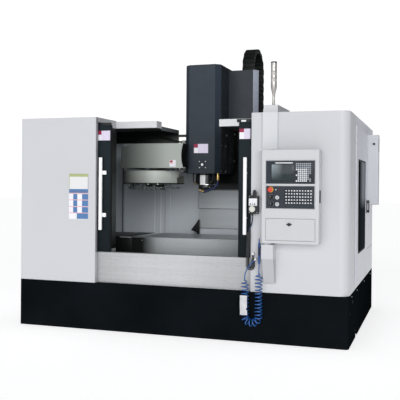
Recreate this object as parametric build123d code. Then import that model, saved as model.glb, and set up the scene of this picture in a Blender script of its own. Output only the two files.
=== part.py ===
from build123d import *
import math
import os

os.makedirs("parts", exist_ok=True)

# Vertical machining centre: fixed column at the back, saddle and cross table in the middle, head on the column,
# sheet-metal enclosure with two sliding front doors. Millimetres, Z up. The numbers below are in machine
# coordinates: X = 0 at mid width, Y = 0 at the front face, Z = 0 on the floor. Every part is moved by
# (-OX, -OY, 0) when written, so that the row's origin is under the middle of the whole machine.

# ---- driving dimensions ----
WIDTH = 3400.0            # enclosure, left to right
DEPTH = 2415.0            # enclosure, front to back
HEIGHT = 2160.0           # top of the front covers
BASE_H = 478.0            # top of the dark base
SHEET = 3.0
XL, XR = -WIDTH / 2, WIDTH / 2
MX = -22.0                # machine centre line: column, table, opening
OPEN_L, OPEN_R = -835.0, 790.0     # front opening between the two covers
SILL_Z = 790.0            # top of the polished sill
COVER_D = 480.0           # depth of the two front covers
TABLE_Z = 900.0           # table top
TABLE_L, TABLE_W = 1300.0, 640.0
TABLE_Y0 = 800.0
TSLOT_W, TSLOT_N, TSLOT_PITCH = 18.0, 5, 110.0
SPINDLE_Y = 1130.0        # spindle axis
NOSE_Z = 1455.0           # spindle nose at rest
HOUSING_R = 104.0
SPINDLE_R = 60.0
HEAD_Y0 = 950.0           # front of the head cover
HEAD_W = 406.0
HEAD_Z0, HEAD_Z1 = 1606.0, 2810.0
HEAD_CH = 52.0            # chamfer of the head cover's front edges
COL_Y0, COL_Y1 = 1800.0, 2340.0
COL_Z0, COL_Z1 = 600.0, 2450.0
COL_W = 600.0
SCREW_Y, SCREW_R = 1850.0, 25.0
MAG_X, MAG_Y = -662.0, SPINDLE_Y   # drum axis at rest
MAG_R = 350.0
MAG_PITCH_R = 270.0
MAG_N = 16
FINGER_Z1 = 1450.0
SWING_X, SWING_Y = 965.0, -75.0    # control box pivot
BOX_X0, BOX_X1 = 931.0, 1450.0
BOX_Y0, BOX_Y1 = -150.0, -15.0
BOX_Z0, BOX_Z1 = 952.0, 1800.0
RUN = 0.05                # radial running clearance
HINGES_Z = (680.0, 1300.0, 1920.0)  # side door hinges
OX, OY = 64.5, 1114.5     # middle of the whole machine in machine coordinates


# ---- small helpers ----
def bx(x0, x1, y0, y1, z0, z1):
    return Pos((x0 + x1) / 2, (y0 + y1) / 2, (z0 + z1) / 2) * Box(x1 - x0, y1 - y0, z1 - z0)


def cz(x, y, z0, z1, r):
    return Pos(x, y, (z0 + z1) / 2) * Cylinder(r, z1 - z0)


def cy(x, z, y0, y1, r):
    return Pos(x, (y0 + y1) / 2, z) * Rot(90, 0, 0) * Cylinder(r, y1 - y0)


def cx(y, z, x0, x1, r):
    return Pos((x0 + x1) / 2, y, z) * Rot(0, 90, 0) * Cylinder(r, x1 - x0)


def cone(x, y, z0, z1, r0, r1):
    return Pos(x, y, (z0 + z1) / 2) * Cone(r0, r1, z1 - z0)


def prism_z(pts, z0, z1):
    face = make_face(Polyline(*[(x, y, z0) for x, y in pts], close=True))
    return extrude(face, amount=z1 - z0, dir=(0, 0, 1))


def prism_x(pts, x0, x1):
    face = make_face(Polyline(*[(x0, y, z) for y, z in pts], close=True))
    return extrude(face, amount=x1 - x0, dir=(1, 0, 0))


def prism_y(pts, y0, y1):
    face = make_face(Polyline(*[(x, y0, z) for x, z in pts], close=True))
    return extrude(face, amount=y1 - y0, dir=(0, 1, 0))


def fz(shape, x, y, r, tol=1.0):
    """Round the vertical edges that stand at x, y."""
    found = [e for e in shape.edges().filter_by(Axis.Z) if abs(e.center().X - x) < tol and abs(e.center().Y - y) < tol]
    return fillet(found, r) if found else shape


def tube(points, r, radii=None):
    """Round bar along straight runs joined by tangent arcs."""
    n = len(points)
    if radii is None:
        radii = []
        for i in range(1, n - 1):
            a, b, c = (Vector(*points[j]) for j in (i - 1, i, i + 1))
            u, v = (b - a), (c - b)
            turn = math.radians(u.get_angle(v))
            radii.append(0.45 * min(u.length, v.length) / math.tan(turn / 2))
    if n == 2:
        path = Line(*points)
    else:
        path = FilletPolyline(*points, radius=radii)
    plane = Plane(origin=path @ 0, z_dir=path % 0)
    return sweep(plane * Circle(r), path=path), path, radii


def group(*shapes):
    return list(shapes)


def save(name, shape):
    """Write one sub-part; a list is a group of separate solids."""
    if isinstance(shape, list):
        placed = []
        for s in shape:
            placed += list((Pos(-OX, -OY, 0) * s).solids())
        export_step(Compound(placed), f"parts/{name}.step")
    else:
        export_step(Pos(-OX, -OY, 0) * shape, f"parts/{name}.step")


# ---- base ----
outer = fz(bx(XL, XR, 0, DEPTH, 2, BASE_H), XR, 0, 34)
inner = fz(bx(XL + 4, XR - 4, 4, DEPTH - 4, 0, BASE_H + 10), XR - 4, 4, 30)
rim = fz(bx(XL + 64, XR - 64, 64, DEPTH - 64, 0, BASE_H + 10), XR - 64, 64, 30)
skirt = outer - inner
foot_rim = (fz(bx(XL + 1, XR - 1, 1, DEPTH - 1, 12, 16), XR - 1, 1, 33)) - rim
top_rim = (fz(bx(XL + 1, XR - 1, 1, DEPTH - 1, BASE_H - 4, BASE_H), XR - 1, 1, 33)) - rim
skirt = skirt + foot_rim + top_rim
for y0, y1, z0, z1 in ((312, 430, 355, 401), (112, 228, 272, 309), (492, 608, 46, 90)):
    skirt -= bx(XR - 10, XR + 10, y0, y1, z0, z1)
skirt -= bx(XR - 70, XR + 10, 590, 710, 0, 30)
save("base_skirt", skirt)

feet = []
for x in (-382, 338):
    for y in (630, 1465, 2275):
        feet.append(cz(x, y, 0, 20, 65) + cz(x, y, 20, 60, 20))
for x in (XL + 80, XR - 80):
    for y in (110, DEPTH - 80):
        feet.append(cz(x, y, 0, 12, 50))
save("levelling_feet", group(*feet))

bed = bx(-422, 378, 560, 2345, 60, 560)
bed += bx(-322, -222, 600, 1700, 560, 600) + bx(178, 278, 600, 1700, 560, 600)
bed += bx(-372, 328, 1770, 2345, 560, 600)
for y0, y1 in ((600, 1140), (1180, 1740), (1780, 2305)):
    bed -= bx(-302, 258, y0, y1, 59, 500)
save("bed_casting", bed)

# ---- column ----
cxl, cxr = MX - COL_W / 2, MX + COL_W / 2
column = bx(cxl, cxr, COL_Y0, COL_Y1, COL_Z0, COL_Z1)
column += bx(-292, -182, 1775, 1800, 650, 2440) + bx(138, 248, 1775, 1800, 650, 2440)
column -= bx(MX - 90, MX + 90, 1799, 1905, 640, 2400)
for z0, z1 in ((700, 1220), (1280, 1800), (1860, 2350)):
    column -= bx(MX - 200, MX + 200, 1960, COL_Y1 + 1, z0, z1)
column -= cz(MX, SCREW_Y, 615, COL_Z1 + 1, SCREW_R + RUN)
column += bx(cxr, 450, 1910, 1970, 1850, 1900)      # shelf that holds the cable chain's fixed end
save("column_casting", column)
save("z_ball_screw", cz(MX, SCREW_Y, 618, 2473, SCREW_R))

y_motor = bx(MX - 65, MX + 65, 400, 560, 300, 430)
z_motor = bx(MX - 65, MX + 65, SCREW_Y - 65, SCREW_Y + 65, COL_Z1, 2700) - cz(MX, SCREW_Y, COL_Z1 - 1, 2475, SCREW_R + RUN)
save("axis_motors", group(y_motor, z_motor))

# ---- saddle and table ----
saddle = bx(-372, 328, 850, 1390, 565, 700)
saddle -= bx(-332, -212, 849, 1391, 560, 600.3) + bx(168, 288, 849, 1391, 560, 600.3)
saddle += bx(-372, 328, 900, 1000, 700, 740) + bx(-372, 328, 1240, 1340, 700, 740)
save("saddle_casting", saddle)

tx0, tx1 = MX - TABLE_L / 2, MX + TABLE_L / 2
ty0, ty1 = TABLE_Y0, TABLE_Y0 + TABLE_W
table = bx(tx0, tx1, ty0, ty1, 785, TABLE_Z)
table += bx(tx0 + 20, tx1 - 20, 885, 1015, 740.3, 785) + bx(tx0 + 20, tx1 - 20, 1225, 1355, 740.3, 785)
mid = (ty0 + ty1) / 2
for i in range(TSLOT_N):
    y = mid + (i - (TSLOT_N - 1) / 2) * TSLOT_PITCH
    table -= bx(tx0 - 1, tx1 + 1, y - TSLOT_W / 2, y + TSLOT_W / 2, TABLE_Z - 22, TABLE_Z + 1)
    table -= bx(tx0 - 1, tx1 + 1, y - 15, y + 15, TABLE_Z - 34, TABLE_Z - 21)
save("work_table", table)

apron = bx(-760, 716, 744, 747, 700, TABLE_Z) + bx(-760, 716, 746, ty0, TABLE_Z - 3, TABLE_Z)
save("table_apron", apron)

# ---- head ----
hx0, hx1 = MX - HEAD_W / 2, MX + HEAD_W / 2
casting = bx(MX - 191, MX + 191, 1022, 1701, 1612, 2200) + bx(-300, 256, 1700, 1774.5, 1650, 2180)
casting -= bx(MX - 160, MX + 160, 1262, 1660, 1640, 2201)
casting -= cz(MX, SPINDLE_Y, 1611, 2201, HOUSING_R + 0.3)
nut = bx(MX - 75, MX + 75, 1770, 1900, 1850, 1960) - cz(MX, SCREW_Y, 1849, 1961, SCREW_R + RUN)
casting += nut
casting += bx(-322, 278, 1640, 1744, 1499, 1655)      # wiper block over the way cover
save("headstock_casting", casting)


def head_prism(inset, z0, z1, y1):
    c = HEAD_CH - inset * 0.41
    a, b, y0 = hx0 + inset, hx1 - inset, HEAD_Y0 + inset
    return prism_z([(a + c, y0), (b - c, y0), (b, y0 + c), (b, y1), (a, y1), (a, y0 + c)], z0, z1)


cover = head_prism(0, HEAD_Z0, HEAD_Z1, 1690) - head_prism(SHEET, HEAD_Z0 + SHEET, HEAD_Z1 - SHEET, 1691)
cover -= bx(hx0 - 5, hx1 + 5, 1019, 1700, HEAD_Z0 - 1 + 4, 2204)
cover -= bx(hx0 - 5, hx1 + 5, 1330, 1700, HEAD_Z0 - 1, 1700)
cover -= cz(MX, SPINDLE_Y, HEAD_Z0 - 1, HEAD_Z0 + 5, HOUSING_R + 2)
save("head_cover", cover)

sb = prism_z([(hx1, 1320), (461, 1320), (512, 1371), (512, 1386), (442, 1386), (442, 1560), (hx1, 1560)], 2206, 2790)
sb -= prism_z([(hx1 - 1, 1323), (459.8, 1323), (509, 1372.2), (509, 1383), (439, 1383), (439, 1557), (hx1 - 1, 1557)], 2209, 2787)
save("head_side_box", sb)

motor = cz(MX, SPINDLE_Y, 2200, 2216, 128) + cz(MX, SPINDLE_Y, 2216, 2640, 112) + cz(MX, SPINDLE_Y, 1962, 2200, 20)
motor += bx(MX - 70, MX + 70, SPINDLE_Y - 60, SPINDLE_Y + 60, 2640, 2700)
save("spindle_motor", motor)

housing = cz(MX, SPINDLE_Y, 1478, 1950, HOUSING_R) - cz(MX, SPINDLE_Y, 1477, 1951, SPINDLE_R + RUN)
housing -= cz(MX, SPINDLE_Y, 1477, 1490, 75)
save("spindle_housing", housing)

spindle = cz(MX, SPINDLE_Y, 1489, 1960, SPINDLE_R) + cz(MX, SPINDLE_Y, NOSE_Z, 1489, 64)
spindle -= cone(MX, SPINDLE_Y, NOSE_Z - 0.01, 1520, 22.2, 12.7)
spindle -= cz(MX, SPINDLE_Y, 1519, 1961, 12.7)
save("spindle_nose", spindle)

route = [(150, 985, 1548), (147, 985, 1492), (112, 985, 1440), (52, 985, 1416), (-14, 985, 1410)]
hose, _, rr = tube(route, 10.5)
nozzle = hose + cz(150, 985, 1546, HEAD_Z0, 15) + cz(150, 985, 1566, 1584, 20)
tip = Pos(-14, 985, 1410) * Rot(0, -100, 0) * Pos(0, 0, 22) * Cone(12, 7, 48)
save("coolant_nozzle", nozzle + tip)
print("coolant radii", [round(v) for v in rr])

# ---- telescopic cover in front of the column ways ----
save("z_cover_upper", bx(-322, 278, 1745, 1748, 1190, 1650))
save("z_cover_middle", bx(-316, 272, 1752, 1755, 950, 1300))

chain = bx(298, 437, 1455, 1505, 2790, 2841) + bx(298, 437, 1915, 1965, 1900, 2841)
ring = cx(1710, 2840, 298, 437, 255) - cx(1710, 2840, 297, 438, 205) - bx(290, 440, 1400, 2000, 2500, 2840)
save("cable_chain", chain + ring)

# ---- tool magazine ----
mc = bx(-923, -237, 780, 1480, 1662, 1933)
mc += bx(-300, -150, 780, 925, 1662, 1933)
mc = fz(mc, -923, 780, 12)
mc = fz(mc, -237, 925, 8)
mc -= prism_y([(-930, 1884.6), (-786, 1933), (-786, 1940), (-930, 1940)], 770, 1490)
mi = bx(-920, -240, 783, 1481, 1600, 1930)
mi += bx(-300, -185, 783, 922, 1600, 1930)
mi = fz(mi, -920, 783, 9)
mi -= prism_y([(-930, 1881.4), (-785.5, 1930), (-785.5, 1940), (-930, 1940)], 770, 1490)
mc -= mi
mc -= cy(213, 1800, 700, 940, 413)                   # hollowed right edge of the front face, faces the head
mc += bx(-300, -262, 1084, 1116, 1932, 1984)
mc += bx(-1012, -922, 1083, 1117, 1700, 1712) + cz(-995, 1100, 1711, 1735, 16)
save("magazine_cover", mc)

br = bx(-900, -240, 1480.5, 1500, 1690, 1900)
br += bx(-900, -880, 1400, 1481, 1690, 1890) + bx(-255, -240.5, 1400, 1481, 1690, 1890)
br += bx(-420, cxl, 1499, 1950, 1700, 1880)
for z in (1722, 1858):
    br += cx(1436, z, -890, -250, 15)
save("magazine_bracket", br)

drum = cz(MAG_X, MAG_Y, 1497, 1634, MAG_R) - cz(MAG_X, MAG_Y, 1490, 1640, MAG_R - SHEET)
plate = cz(MAG_X, MAG_Y, 1580, 1584, MAG_R - 1)
plate -= bx(MAG_X + 150, MAG_X + 400, MAG_Y - 175, MAG_Y + 115, 1570, 1590)
drum -= bx(MAG_X + 100, MAG_X + 400, MAG_Y - 118, MAG_Y + 118, 1480, 1640)          # mouth for the spindle
drum -= bx(MAG_X + 100, MAG_X + 400, MAG_Y - 192, MAG_Y - 110, 1560, 1640)          # clears the coolant line
drum -= bx(MAG_X + 55, MAG_X + 400, MAG_Y - 192, MAG_Y + 400, 1588, 1640)          # passes under the head cover and casting
plate_ring = plate
drum = drum + plate_ring
drum += cz(MAG_X, MAG_Y, 1583, 1700, 33)
drum += bx(MAG_X - 35, MAG_X + 35, 1080, 1401, 1640, 1700)
block = bx(MAG_X - 35, MAG_X + 35, 1400, 1478, 1640, 1885)
for z in (1722, 1858):
    block -= cx(1436, z, MAG_X - 40, MAG_X + 40, 15 + RUN)
drum += block
save("magazine_drum", drum)

disc = cz(MAG_X, MAG_Y, 1436, FINGER_Z1, 300)
for i in range(MAG_N):
    a = math.radians(360 / MAG_N * i)
    c, s = math.cos(a), math.sin(a)
    slot = cz(MAG_X + MAG_PITCH_R * c, MAG_Y + MAG_PITCH_R * s, 1430, 1455, 24)
    slot += Pos(MAG_X + (MAG_PITCH_R + 25) * c, MAG_Y + (MAG_PITCH_R + 25) * s, 1443) * Rot(0, 0, 360 / MAG_N * i) * Box(50, 38, 24)
    disc -= slot
disc += cz(MAG_X, MAG_Y, 1449, 1475, 120) + cz(MAG_X, MAG_Y, 1474, 1579, 55)
save("magazine_carousel", disc)

STORED = (90, 135, 180, 225, 247.5, 270, 292.5)
tools = []
for deg in STORED:
    a = math.radians(deg)
    x, y = MAG_X + MAG_PITCH_R * math.cos(a), MAG_Y + MAG_PITCH_R * math.sin(a)
    t = cz(x, y, 1420, 1436, 31.5) + cz(x, y, 1436, 1450, 23.7) + cz(x, y, 1450, 1456, 31.5)
    t += cone(x, y, 1456, 1521, 22.2, 12.7) + cz(x, y, 1521, 1545, 8)
    tools.append(t)
save("tool_holders", group(*tools))

pts = [(-300, 1100, 1966), (-340, 1100, 1966), (-392, 1098, 1978), (-450, 1094, 1997), (-512, 1091, 2014), (-578, 1091, 2025), (-645, 1094, 2028),
       (-712, 1098, 2022), (-778, 1102, 2009), (-840, 1104, 1985), (-895, 1104, 1951), (-941, 1103, 1906), (-973, 1101, 1852), (-995, 1100, 1795), (-995, 1100, 1735)]
# the conduit leaves the elbow on the cover and runs over it, down to the bracket on its left wall
con, path, rr = tube(pts, 10.5)
print("conduit length", round(path.length), "volume ratio", round(con.volume / (math.pi * 10.5 ** 2 * path.length), 4), "radii", [round(v) for v in rr])
save("magazine_conduit", con)

# ---- enclosure ----
lf = bx(XL, OPEN_L, 0, COVER_D, BASE_H, HEIGHT) - bx(XL + SHEET, OPEN_L - SHEET, SHEET, COVER_D - SHEET, BASE_H + SHEET, HEIGHT - SHEET)
lf -= bx(OPEN_L - 10, OPEN_L + 5, 20, 120, 786, 2112)
save("left_front_cover", lf)

rf = fz(bx(OPEN_R, XR, 0, COVER_D, BASE_H, HEIGHT), XR, 0, 90)
rf -= fz(bx(OPEN_R + SHEET, XR - SHEET, SHEET, COVER_D - SHEET, BASE_H + SHEET, HEIGHT - SHEET), XR - SHEET, SHEET, 87)
rf -= bx(OPEN_R - 5, OPEN_R + 10, 20, 120, 786, 2112)
save("right_front_cover", rf)

left_panel = bx(XL, XL + SHEET, COVER_D, DEPTH, BASE_H, HEIGHT)
right_panel = bx(XR - SHEET, XR, COVER_D, DEPTH, BASE_H, HEIGHT) - bx(XR - 10, XR + 10, 530, 1560, 560, 2050)
for z in HINGES_Z:                                   # fixed half of each side door hinge, with its pin
    right_panel += bx(XR - 1, XR + 6, 481, 489, z, z + 30) + cz(XR + 6.5, 489, z, z + 30, 5.5) + cz(XR + 6.5, 489, z - 28, z + 1, 2.5)
rear_panel = bx(XL + SHEET + 0.5, XR - SHEET - 0.5, DEPTH - SHEET, DEPTH, BASE_H, 1950)
save("outer_panels", group(left_panel, right_panel, rear_panel))

roof = []
for sx in (1, -1):
    def mx(x):
        return MX + sx * (x - MX)
    x0, x1 = (OPEN_L, -367) if sx == 1 else (324, OPEN_R)
    beam = bx(x0, x1, COVER_D, 620, 2080, 2153) - bx(x0 - 1, x1 - 3, COVER_D + 3, 617, 2083, 2150) if sx == 1 else bx(x0, x1, COVER_D, 620, 2080, 2153) - bx(x0 + 3, x1 + 1, COVER_D + 3, 617, 2083, 2150)
    if sx == 1:
        sheet = bx(XL + SHEET, -367, 620, 1158, 2085, 2090) + bx(XL + SHEET, OPEN_L, COVER_D, 621, 2085, 2090) + bx(-1396, -367, 1153, 1158, 1959, 2086)
    else:
        sheet = bx(324, XR - SHEET, 620, 1158, 2085, 2090) + bx(OPEN_R, XR - SHEET, COVER_D, 621, 2085, 2090)
    roof.append(beam + sheet)
roof.append(bx(XL + SHEET, cxl, 1864, 1894, 2080, 2110))
roof.append(bx(cxr, XR - SHEET, 1864, 1894, 2080, 2110))
save("roof_covers", group(*roof))

sill = bx(OPEN_L, OPEN_R, 45, 48, BASE_H, SILL_Z) + bx(OPEN_L, OPEN_R, 45, 118, SILL_Z - 3, SILL_Z) + bx(OPEN_L, OPEN_R, 115, 118, 690, SILL_Z)
save("front_sill", sill)

pan_l = prism_y([(-1396.5, 676), (-440, 500), (-440, 504), (-1396.5, 680)], 484, 1857)
pan_r = prism_y([(1396.5, 676), (396, 500), (396, 504), (1396.5, 680)], 484, 1857)
pan_f = prism_x([(119, 700), (119, 696), (557, 501), (557, 505)], OPEN_L + 1, OPEN_R - 1)
pan_f -= bx(OPEN_L - 5, -438, 481, 600, 400, 720) + bx(394, OPEN_R + 5, 481, 600, 400, 720)

wall_l = bx(-1400, -1397, 483, 1859.5, 660, 2084)
wall_r = bx(1397, 1400, 483, 1859.5, 660, 2084) - bx(1390, 1410, 560, 1540, 800, 2000)
back_l = bx(-1400, -326, 1860, 1863, 500, 1980) + bx(-800, -735, 1845, 1861, 505, 1980)
back_l += bx(-1400, -630, 1860, 1863, 1979, 2078)
back_l -= bx(-424, -320, 1840, 1870, 490, 603)
back_l -= bx(-424, -320, 1840, 1870, 1696, 1884)
back_r = bx(282, 1400, 1860, 1863, 500, 1980) - bx(281, 380, 1855, 1870, 490, 603)
low = bx(-310, 266, 1759, 1762, 700, 1070) + bx(-280, -200, 1761, 1775, 720, 760) + bx(150, 230, 1761, 1775, 720, 760)
save("chamber_lining", group(wall_l, wall_r, back_l, back_r, low, pan_l, pan_r, pan_f))

cab = bx(700, XR - 5, 1900, DEPTH - 4, 781, HEIGHT - 5) - bx(703, XR - 8, 1903, DEPTH, 784, HEIGHT - 8)
save("electrical_cabinet", cab)

jb = bx(XR, 1829, 1600, 1755, 1271, 2050) - bx(XR + 3, 1826, 1603, 1752, 1274, 2047)
jb += cy(1783, 1948, 1590, 1601, 11)
save("side_junction_box", jb)

# ---- front doors ----
def door(x0, x1, wx0, wx1, name, hx):
    f = bx(x0, x1, 60, 100, 792, 2080) - bx(wx0, wx1, 59, 101, 900, 1980)
    s0, s1 = (x1 - 145, x1) if hx < 0 else (x0, x0 + 145)
    f += bx(s0 + 4, s1 - 4, 70, 90, 2079, 2102)
    save(f"{name}_door_frame", f)
    save(f"{name}_door_window", bx(wx0, wx1, 74, 86, 900, 1980))
    z0, z1 = (1014, 1748) if hx < 0 else (1009, 1741)
    bar = bx(hx - 22, hx + 13, 18, 42, z0, z1)
    bar = fillet(bar.edges().filter_by(Axis.Z), 9)
    for z in (1165, 1596):
        bar += cy(hx, z, 40, 60, 12)
    save(f"{name}_door_handle", bar)


door(-1545, -700, -1490, -850, "left", -790)
door(652, 1497, 802, 1442, "right", 726)

# ---- side door ----
sd = bx(XR + 0.5, XR + 12.5, 495, 1592, 545, 2065) - bx(XR - 1, XR + 20, 641, 1347, 813, 1738)
for z in HINGES_Z:
    sd += (bx(XR + 7, XR + 12, 489, 497, z - 30, z - 0.5) + cz(XR + 6.5, 489, z - 30, z - 0.5, 5.5)) - cz(XR + 6.5, 489, z - 31, z + 1, 2.5 + RUN)
save("side_door", sd)
save("side_window", bx(XR + 3, XR + 11, 641, 1347, 813, 1738))

# ---- control box on its post ----
post = bx(897, 1044, -20, 0, 1802, HEIGHT) + bx(905, 1030, -140, -1, 1802, 1808) + cz(SWING_X, SWING_Y, 1780, 1803, 12)
bracket = bx(921, 1031, -125, 0, 800, 934) + cz(SWING_X, SWING_Y, 933, 951.5, 38) + cz(SWING_X, SWING_Y, 951, 985, 12)
bracket += prism_x([(0, 801), (-116, 801), (-40, 575), (0, 575)], 924, 1030)
duct = bx(900, 1032, 30, 590, HEIGHT, 2230)
save("panel_post", group(post, bracket, duct))

cb = bx(BOX_X0, BOX_X1, BOX_Y0, BOX_Y1, BOX_Z0, BOX_Z1) - bx(BOX_X0 + 3, BOX_X1 - 3, BOX_Y0 + 3, BOX_Y1 - 3, BOX_Z0 + 3, BOX_Z1 - 3)
cb += cz(SWING_X, SWING_Y, 1776, 1799, 24) + cz(SWING_X, SWING_Y, 953, 990, 24)
cb -= cz(SWING_X, SWING_Y, 1770, 1801, 12 + RUN)
cb -= cz(SWING_X, SWING_Y, 951, 995, 12 + RUN)
cb -= bx(990, 1391, BOX_Y0 - 1, BOX_Y0 + 4, 1514, 1680)      # behind the screen unit
cb -= bx(990, 1391, BOX_Y0 - 1, BOX_Y0 + 4, 1290, 1454)      # behind the operator panel
cb -= bx(980, 1405, BOX_Y0 - 1, BOX_Y0 + 4, 992, 1165)       # compartment behind the flap
cb -= bx(BOX_X1 - 4, BOX_X1 + 1, -125, -55, 1325, 1432)      # grip hole in the right side
save("control_box", cb)

scr = bx(970, 1411, -158, -150, 1494, 1700) + bx(992, 1389, -151, -110, 1516, 1678)
save("screen_unit", scr)

ESTOP = (1012, 1440)
KNOBS = {"feed_knob": (1013, 1370), "speed_knob": (1016, 1309)}
BUTTONS = {"start_button": (1074, 1369), "stop_button": (1074, 1308)}
op = bx(972, 1409, -156, -150, 1272, 1472)
op -= cy(*ESTOP, -160, -140, 11 + RUN)
for p in KNOBS.values():
    op -= cy(*p, -160, -140, 5 + RUN)
for p in BUTTONS.values():
    op -= cy(*p, -160, -140, 13 + RUN)
save("operator_panel", op)
save("estop_button", cy(*ESTOP, -174, -138, 11) + cy(*ESTOP, -186, -173, 20))
for n, p in KNOBS.items():
    save(n, cy(*p, -176, -156.5, 19) + cy(*p, -157, -142, 5))
for n, p in BUTTONS.items():
    save(n, cy(*p, -163, -146, 13))

flap = bx(970, 1415, -153, -150, 982, 1175) + cx(-153, 982, 990, 1395, 2.4) - cy(1185, 1126, -160, -140, 6 + RUN)
save("panel_flap", flap)
save("flap_latch", cy(1185, 1126, -153.5, -141, 6) + Pos(1185, -159, 1126) * Rot(0, 45, 0) * Box(20, 11, 20))

# ---- signal lamp ----
lamp = cz(955, 200, 2230, 2345, 19) + cone(955, 200, 2345, 2405, 19, 29) + cz(955, 200, 2405, 2670, 29)
save("tower_lamp", lamp)

# ---- hand pendant with its curly cord, air gun with its coiled hose ----
pend = bx(780, 873, -60, -15, 1212, 1384)
pend = fillet(pend.edges().filter_by(Axis.Y), 12)
pend += bx(819, 848, -50, -25, 1383, 1420)
pend -= cy(817, 1257, -61, -50, 6 + RUN)
pend += cz(814, -38, 1196, 1213, 10)
save("pendant_body", pend)
save("pendant_dial", cy(817, 1257, -69, -60.5, 29) + cy(817, 1257, -61, -52, 6))

gun = bx(876, 897, -66, -40, 783, 938)
gun = fillet(gun.edges().filter_by(Axis.Z), 8)
gun += cz(884.5, -53, 937, 990, 4.5) + cz(886, -53, 752, 784, 11)
gun -= bx(879.5, 893.5, -67, -60, 826, 906)
gun += cx(-64, 903, 879, 894, 1)                                     # trigger pin
save("air_gun_body", gun)
save("air_gun_trigger", bx(881, 892, -74, -61.5, 828, 905) - cx(-64, 903, 880, 893, 1 + RUN))

hook = bx(812, 855, -15, 0, 1300, 1420)
gun_hook = bx(878, 895, -40, 0, 872, 905)
gland = bx(808, 832, -38, 0, 826, 850)
air = cy(852, 792, -66, 0, 11)
barb_dir = Vector(-0.72, 0, -0.694)
barb = Pos(852, -56, 792) * Plane(origin=(0, 0, 0), z_dir=barb_dir).location * Pos(0, 0, 12) * Cylinder(7, 16)
save("wall_fittings", group(hook, gun_hook, gland, air + barb))

R_COIL = 38.0
fat, p1, _ = tube([(881, -50, 654), (881, -50, 200), (751, -50, 200), (751, -50, 575)], R_COIL, [64.9, 64.9])
lead1, p2, _ = tube([(886, -53, 752), (886, -53, 722), (883, -51.5, 690), (881, -50, 651)], 6)
b0 = Vector(852, -56, 792) + barb_dir.normalized() * 20
b1 = Vector(852, -56, 792) + barb_dir.normalized() * 58
lead2, p3, rr = tube([(b0.X, b0.Y, b0.Z), (b1.X, b1.Y, b1.Z), (780, -57, 712), (756, -54, 668), (744, -51, 622), (751, -50, 574)], 6)
print("hose lead radii", [round(v) for v in rr], "lengths", round(p1.length), round(p2.length), round(p3.length))
save("air_gun_hose", fat + lead1 + lead2)

fat, p1, _ = tube([(779, -28, 1050), (772, -26, 924), (768, -25, 812), (768, -25, 700), (820, -25, 700), (820, -25, 806)], 15.0, [700, 700, 25.9, 25.9])
lead1, p2, rr = tube([(814, -38, 1196), (814, -38, 1160), (807, -36, 1120), (793, -32, 1084), (779.5, -28.2, 1048)], 4.0)
lead2, p3, _ = tube([(820, -25, 805), (820, -25, 826)], 4.0)
print("pendant lead radii", [round(v) for v in rr], "lengths", round(p1.length), round(p2.length), round(p3.length))
save("pendant_cord", fat + lead1 + lead2)
print("files", len(os.listdir("parts")))
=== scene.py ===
import bmesh
import bpy
import math
from mathutils import Matrix, Vector


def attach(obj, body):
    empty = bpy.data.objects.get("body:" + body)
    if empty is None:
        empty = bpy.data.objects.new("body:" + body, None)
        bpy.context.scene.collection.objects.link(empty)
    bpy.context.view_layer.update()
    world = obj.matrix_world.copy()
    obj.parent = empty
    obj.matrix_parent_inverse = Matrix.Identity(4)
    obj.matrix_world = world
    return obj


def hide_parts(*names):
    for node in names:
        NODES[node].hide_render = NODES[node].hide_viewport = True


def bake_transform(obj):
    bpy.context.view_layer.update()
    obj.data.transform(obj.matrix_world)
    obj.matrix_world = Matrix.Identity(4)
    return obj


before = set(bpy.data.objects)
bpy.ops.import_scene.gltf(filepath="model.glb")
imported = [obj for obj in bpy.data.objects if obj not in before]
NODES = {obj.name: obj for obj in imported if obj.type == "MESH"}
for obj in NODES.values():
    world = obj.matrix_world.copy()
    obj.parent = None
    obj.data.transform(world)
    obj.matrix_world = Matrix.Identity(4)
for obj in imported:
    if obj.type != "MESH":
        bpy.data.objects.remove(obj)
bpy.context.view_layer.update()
OX, OY = 64.5, 1114.5     # the CAD's origin in machine coordinates (mm)


def P(x, y, z):
    """Machine millimetres to the row frame in metres."""
    return Vector(((x - OX) / 1000, (y - OY) / 1000, z / 1000))


def lin(r, g, b):
    """sRGB 0..255 to linear."""
    out = []
    for c in (r, g, b):
        c /= 255
        out.append(c / 12.92 if c <= 0.04045 else ((c + 0.055) / 1.055) ** 2.4)
    return tuple(out)


# ------------------------------------------------------------------ camera
YAW, ROLL = math.radians(18.62), math.radians(0.44)
fwd = Vector((-math.sin(YAW), math.cos(YAW), 0))
right = Vector((math.cos(YAW), math.sin(YAW), 0))
up = Vector((0, 0, 1))
r2 = right * math.cos(ROLL) + up * math.sin(ROLL)
u2 = up * math.cos(ROLL) - right * math.sin(ROLL)
cam_data = bpy.data.cameras.new("camera")
cam = bpy.data.objects.new("camera", cam_data)
bpy.context.scene.collection.objects.link(cam)
m = Matrix((r2, u2, -fwd)).transposed().to_4x4()
m.translation = P(2427, -6364, 1471)
cam.matrix_world = m
cam_data.sensor_width = 36
cam_data.lens = 36 * 697.4 / 400
cam_data.shift_y = -14.4 / 400
cam_data.clip_start, cam_data.clip_end = 0.1, 200
bpy.context.scene.camera = cam


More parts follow.
